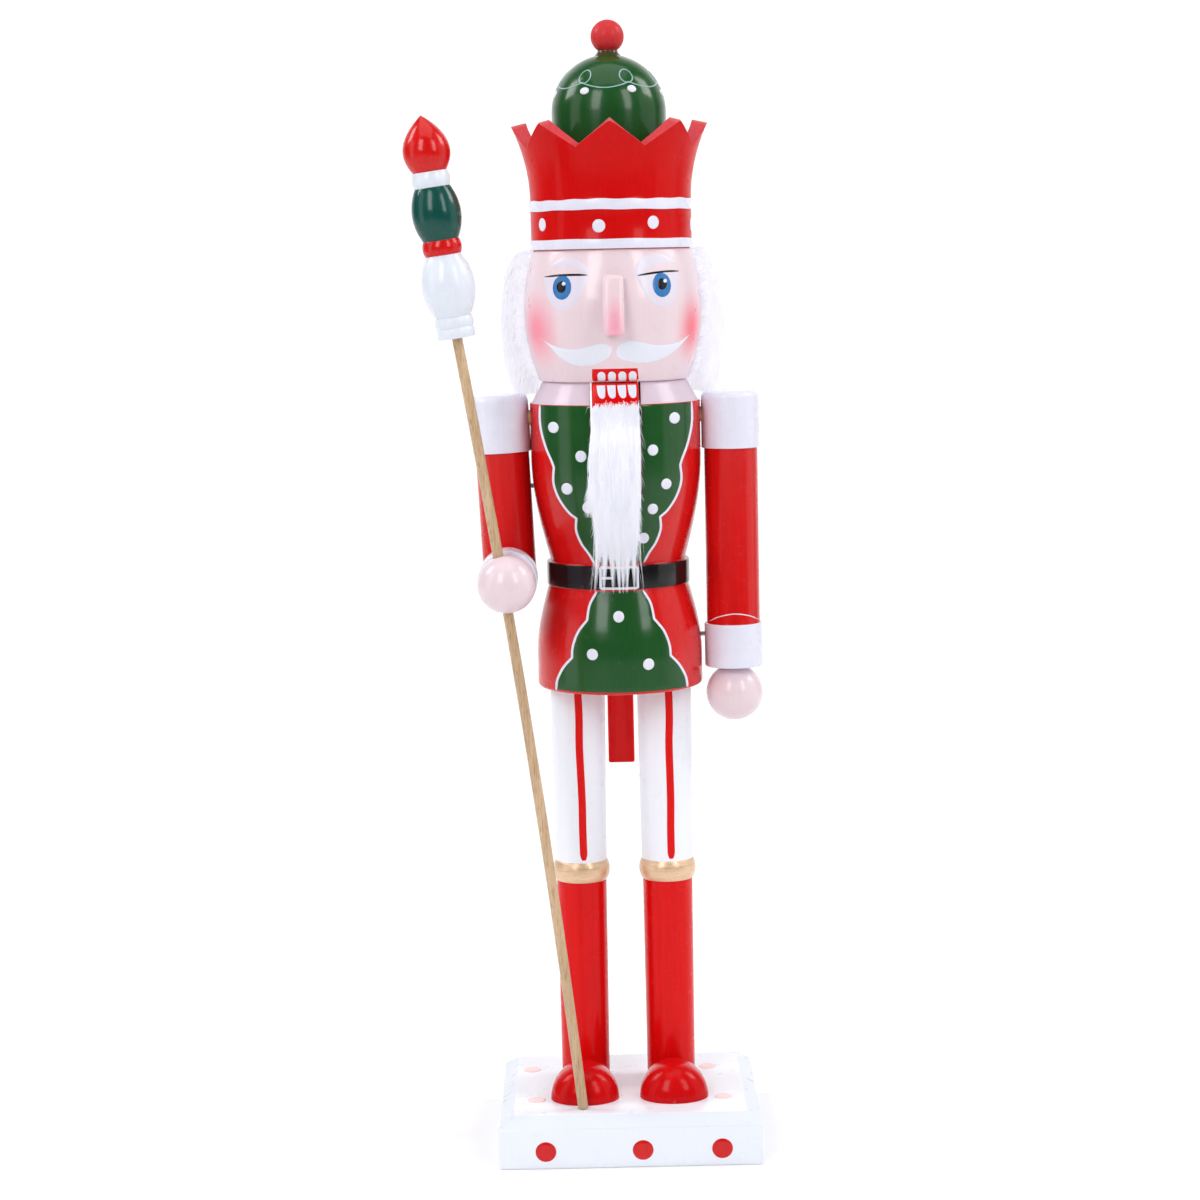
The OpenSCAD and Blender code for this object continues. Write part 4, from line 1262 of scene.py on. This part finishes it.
def staff_frame(distance):
    return Matrix.Translation(STAFF_FOOT + STAFF_DIR * distance) @ STAFF_TILT


def build_staff():
    rod = [(0, 0), (ROD_R - 0.3, 0), (ROD_R, 0.4)]
    rod += [(ROD_R + 0.03 * sin(0.9 * i), 10 + i * 10) for i in range(int(ROD_L / 10) + 1)]
    rod += [(ROD_R, ROD_L + 20), (0, ROD_L + 20)]
    dowel = lathe("staff_dowel", rod, [STAFF_WOOD], "staff_wood", ["staff_rod"], "staff", segments=40,
                  turn=staff_frame(0))
    for vert in dowel.data.vertices:
        vert.co.x += bow(vert.co.z / MM) * MM
    outline = [Vector((0, 0))]
    foot = 0
    for radius, swell, top, _ in FINIAL_SECTIONS:
        outline += swell_line((radius, foot * FINIAL_L), (radius, top * FINIAL_L), swell, 20)
        foot = top
    outline += [Vector((bud_at(t), (foot + (1 - foot) * t) * FINIAL_L)) for t in shares(32)]

    def paint_at(h):
        return next((index for *_, top, index in FINIAL_SECTIONS if h / FINIAL_L < top), 1)

    lathe("staff_finial_turning", round_corners(outline, 0.5, turn=28), FINIAL_PAINTS, "finial_paint",
          ["staff_finial"], "staff", segments=72, turn=staff_frame(ROD_L), paint_at=paint_at)


# ---------------------------------------------------------------- beard and hair

BEARD_LOW, BEARD_HIGH = span("beard")
BEARD_BACK = BEARD_HIGH.y - 0.2
# The jaw, the beard and two points 15 mm apart at the beard's top. Hair pieces given it are baked in place,
# not attached to a body.
BEARD_BLEND = ("jaw", "beard", (0, BEARD_HIGH.y * MM, (BEARD_HIGH.z + 1) * MM),
               (0, BEARD_HIGH.y * MM, (BEARD_HIGH.z - 14) * MM))
ALONG = np.linspace(0, 1, 7)[None, :]
LOCK_PITCH, TUFT_PITCH = 1.7, 3.6


def column_of(rng, hairs):
    """column(low, high): a random number for each hair."""
    return lambda low, high: rng.uniform(low, high, (hairs, 1))


def hump(t):
    """Rises and falls back over a share of the way."""
    return np.sin(np.pi * np.clip(t, 0, 1))


def build_beard():
    t, back = ALONG, BEARD_BACK
    for name, seed, depth, replaced in (("beard_fur_front", 11, (0.0, 0.55), ["beard"]),
                                        ("beard_fur_back", 12, (0.45, 1.0), ())):
        rng = np.random.default_rng(seed)
        hairs = 4800
        column = column_of(rng, hairs)
        root_x = column(-12, 12)
        deep = column(*depth)
        root_z = BEARD_HIGH.z - column(0, 2.5) - 12 * deep * column(0.1, 1)
        end_z = BEARD_HIGH.z - np.where(column(0, 1) < 0.09, column(79, 97), column(55, 80))
        wisp = (root_x < -8.5) & (deep < 0.5) & (column(0, 1) < 0.6)
        end_z = np.where(wisp, BEARD_HIGH.z - column(46, 57), end_z)
        length = root_z - end_z
        fullness = 1 + 0.1 * hump(t * 1.15) - 0.27 * t
        lock = np.round(root_x / LOCK_PITCH + rng.normal(0, 0.4, hairs)[:, None])
        wave = 1.5 * np.sin(lock * 2.1 + 3.6 * t + 5 * deep)
        lock_x = lock * LOCK_PITCH * fullness + wave * (0.4 + 0.6 * t)
        own_x = root_x * fullness + rng.normal(0, 1.2, hairs)[:, None] * t
        gather = np.clip(0.1 + 0.6 * t, 0, 0.7) * column(0.3, 1)
        x = own_x * (1 - gather) + lock_x * gather + 0.5 * np.sin(7 * t + root_x * 3) * t - 0.8 * t
        x = x - 1.6 * (root_x < -5) * np.exp(-((t - 0.5) / 0.2) ** 2)
        x = x - wisp * column(5.5, 7.5) * np.clip((t - 0.4) / 0.6, 0, 1) ** 1.3
        tuft = np.round(root_x / TUFT_PITCH + rng.normal(0, 0.25, hairs)[:, None])
        tuft_x = 3.5 * tuft + 2 * np.sin(5.1 * tuft + 1) - 1.2
        x = x + (tuft_x - x) * 0.8 * np.clip((BEARD_HIGH.z - 62 - root_z + length * t) / 30, 0, 1) ** 1.2
        stray = column(0, 1) < 0.004
        x = x + stray * rng.normal(0, 7, hairs)[:, None] * t ** 1.4
        out = (1 - deep) * 5.6 + column(0.4, 2.2) + 0.8 * np.sin(lock * 4.3 + 2.2 * t)
        y = back - out * (1 - np.exp(-6 * t)) * (1 - 0.2 * t) + 0.6 * np.sin(6 * t + 9 * deep) * t
        z = root_z + 2.4 * hump(t * 4) * (1 - deep) - length * t
        y, z = np.minimum(y, back), np.maximum(z, BEARD_LOW.z - 5)
        fur_piece(name, x, y, z, rng.uniform(0.12, 0.21, hairs), BEARD_FUR, replaced, blend=BEARD_BLEND)


def build_beard_edges():
    """Short hairs around the roots, and fuzz down both sides."""
    t, back = ALONG, BEARD_BACK
    rng = np.random.default_rng(31)
    hairs = 1300
    column = column_of(rng, hairs)
    root_x = column(-11.8, 11.8)
    rise = column(0.5, 4.5)
    x = root_x + rng.normal(0, 1.1, (hairs, 1)) * t
    y = back - 0.3 - column(1.5, 5.5) * t ** 0.8
    z = BEARD_HIGH.z - column(0.5, 9) + rise * np.sin(2.4 * t) - column(0, 7) * t ** 3
    fur_piece("beard_tufts", x, y, z, rng.uniform(0.1, 0.16, hairs), BEARD_FUR, blend=BEARD_BLEND)

    hairs = 900
    column = column_of(rng, hairs)
    side = np.where(column(0, 1) < 0.5, -1, 1)
    drop = column(4, 66)
    x = side * column(9, 11.5) * (1 - 0.003 * drop) - 0.01 * drop
    x = x + side * column(-0.5, 4.5) * t ** 1.3
    y = back - column(0.8, 5) - column(-0.5, 1.5) * t
    z = BEARD_HIGH.z - drop - column(6, 18) * t + column(-3, 3) * t ** 2
    fur_piece("beard_fuzz", x, y, z, rng.uniform(0.07, 0.12, hairs), BEARD_FUR)


def build_beard_underfur():
    """A solid core that closes the gaps between hairs."""
    bm = bmesh.new()
    sides, rings = 24, 20
    loops = []
    for k in range(rings + 1):
        s = k / rings
        half = 10.6 * (1 + 0.08 * sin(pi * min(1, 1.15 * s)) - 0.16 * s) * (1 - 0.6 * s ** 5)
        deep = 2.2 * (1 - 0.35 * s) * min(1, 6 * s + 0.4)
        z = BEARD_HIGH.z - 2.5 - 70 * s
        middle_y = BEARD_BACK - deep - 0.1
        loops.append([bm.verts.new((half * cos(a) - 1.2 * s, middle_y + deep * sin(a), z))
                      for a in (2 * pi * i / sides for i in range(sides))])
    bridge(bm, loops)
    publish("beard_underfur", bm, [BEARD_FUR], body="beard", sharp=80)


HAIR_FRONT, HAIR_BACK = -8, 188


def build_hair():
    shell = HEAD_OUTLINE[1:-1]
    t = ALONG
    for name, seed, first, last, replaced in (("hair_fur_left", 23, HAIR_FRONT, 90, ["hair"]),
                                              ("hair_fur_right", 24, 90, HAIR_BACK, ())):
        rng = np.random.default_rng(seed)
        hairs = 5000
        column = column_of(rng, hairs)
        angle = np.radians(column(first, last))
        z0 = column(TORSO_TOP + 2, HEAD_TOP - 1.5)
        r0 = np.array([radius_at(shell, z) for z in z0[:, 0]])[:, None] - 0.3
        reach = column(0.6, 1.15) * (14 - 3.5 * (HEAD_TOP - z0) / (HEAD_TOP - TORSO_TOP))
        swirl = rng.normal(0, 0.09, hairs)[:, None] + 0.05 * np.sin(angle * 37 + z0 * 0.21)
        r = r0 + reach * (1 - (1 - t) ** 2.2) * (1 - 0.1 * t ** 3)
        z = z0 + 3.5 * hump(t * 1.6) - column(10, 26) * t ** 1.7
        z = np.maximum(z, TORSO_TOP - 8)
        r = np.where(z < TORSO_TOP + 2, np.maximum(r, CHEST_R + 1.5), r)
        a = angle + swirl * t + 0.02 * np.sin(8 * t + angle * 20)
        fur_piece(name, r * np.cos(a), AXIS_Y + r * np.sin(a), z, rng.uniform(0.13, 0.24, hairs), HAIR_FUR,
                  replaced, "figure")

    bm = bmesh.new()
    low, high = TORSO_TOP + 1.5, HEAD_TOP - 1
    rows = []
    for s in shares(48):
        a = radians(HAIR_FRONT + 2 + (HAIR_BACK - HAIR_FRONT - 4) * s)
        thick = 10.5 * (0.2 + 0.8 * sin(pi * s) ** 0.35)
        levels = [(u, low + (high - low) * u) for u in shares(16)]
        row = [(radius_at(shell, z) + thick * sin(pi * (0.05 + 0.9 * u)) ** 0.6, z) for u, z in levels]
        row += [(radius_at(shell, z) - 0.2, z) for _, z in levels[::-1]]
        rows.append([bm.verts.new((r * cos(a), AXIS_Y + r * sin(a), z)) for r, z in row])
    bridge(bm, rows)
    publish("hair_underfur", bm, [HAIR_FUR], sharp=80)


# ---------------------------------------------------------------- camera, floor and light

CAMERA_AT = Vector((-10.2, AXIS_Y - 1470, 475.7))
CAMERA_PITCH = 7.09
CAMERA_ROLL = 1.25
LENS = 82.44


def build_camera():
    data = bpy.data.cameras.new("camera")
    data.lens = LENS
    data.sensor_width = 36
    data.clip_start = 0.01
    cam = add_object("camera", data)
    roll = Matrix.Rotation(radians(-CAMERA_ROLL), 4, "Z")
    cam.matrix_world = placed(CAMERA_AT * MM, 90 - CAMERA_PITCH, "X") @ roll
    bpy.context.scene.camera = cam


def build_stage():
    """A pale floor that sweeps up into a backdrop, in metres."""
    bm = bmesh.new()
    sweep_r, sweep_y = 0.9, 1.1
    section = [(-4.0, 0.0), (sweep_y, 0.0)]
    section += [(sweep_y + sweep_r * sin(a), sweep_r - sweep_r * cos(a)) for a in sweep(90, 24, 1)]
    section += [(2.0, 4.0)]
    rows = [[bm.verts.new((x, y, z)) for y, z in section] for x in (-4.0, 4.0)]
    for i in range(len(section) - 1):
        bm.faces.new((rows[0][i], rows[1][i], rows[1][i + 1], rows[0][i + 1]))
    mesh = bpy.data.meshes.new("backdrop")
    bm.to_mesh(mesh)
    bm.free()
    soften(mesh, 60)
    mat, tree, shader = new_material("backdrop_paper")
    tone = ramp_node(tree, noise_node(tree, 3, detail=2), (0.94, 0.94, 0.95, 1), (0.965, 0.965, 0.97, 1))
    wire(tree, shader, {"Base Color": tone, "Roughness": 0.8})
    mesh.materials.append(mat)
    add_object("backdrop", mesh)


def softbox(name, at, size, watts, aim=(0, 0, 0.34)):
    data = bpy.data.lights.new(name, "AREA")
    data.shape = "RECTANGLE"
    data.size, data.size_y = size
    data.energy = watts
    obj = add_object(name, data)
    obj.location = at
    obj.rotation_euler = (Vector(aim) - Vector(at)).to_track_quat("-Z", "Y").to_euler()


def build_light():
    softbox("key_left", (-0.8, -1.6, 1.3), (0.6, 1.3), 17)
    softbox("key_right", (1.15, -1.4, 1.3), (0.5, 1.3), 13)
    softbox("top", (0, -0.2, 1.9), (1.4, 1.4), 9)
    softbox("side_left", (-1.5, -0.5, 0.6), (0.6, 1.6), 4)
    softbox("side_right", (1.6, -0.1, 0.6), (1.2, 1.6), 5)
    for name, side in (("backdrop_left", -1), ("backdrop_right", 1)):
        softbox(name, (side * 1.6, 0.3, 1.7), (1.0, 1.0), 24, aim=(side * 0.2, 2.0, 0.8))
    world = bpy.data.worlds.new("studio")
    world.use_nodes = True
    wire(world.node_tree, world.node_tree.nodes["Background"], {"Color": (1, 1, 1, 1), "Strength": 0.07})
    bpy.context.scene.world = world
    bpy.context.scene.view_settings.view_transform = "Standard"


# ---------------------------------------------------------------- build

INNER_WOOD = ["leg_dowels", "jaw_dowel", "neck_dowels", "crown_dowel", "shoulder_dowels", "left_hand_dowel",
              "elbow_dowel", "right_hand_dowel"]
INNER_STEEL = ["leg_screws", "jaw_pin", "arm_pins"]


def dress(nodes, material):
    for name in nodes:
        obj = frame["nodes"][name]
        obj.data.materials.clear()
        obj.data.materials.append(material)


build_camera()
build_stage()
build_light()
dress(INNER_WOOD, BARE_WOOD)
dress(INNER_STEEL, STEEL)
build_base()
for build_part, part in ((build_leg, "leg"), (build_foot, "foot")):
    build_part(1, "left_" + part)
    build_part(-1, "right_" + part)
build_torso()
build_jaw()
build_lever()
build_head()
build_nose()
build_crown()
build_dome()
build_knob()
build_left_arm()
build_left_hand()
build_right_arm()
build_right_hand()
build_staff()
build_beard()
build_beard_edges()
build_beard_underfur()
build_hair()
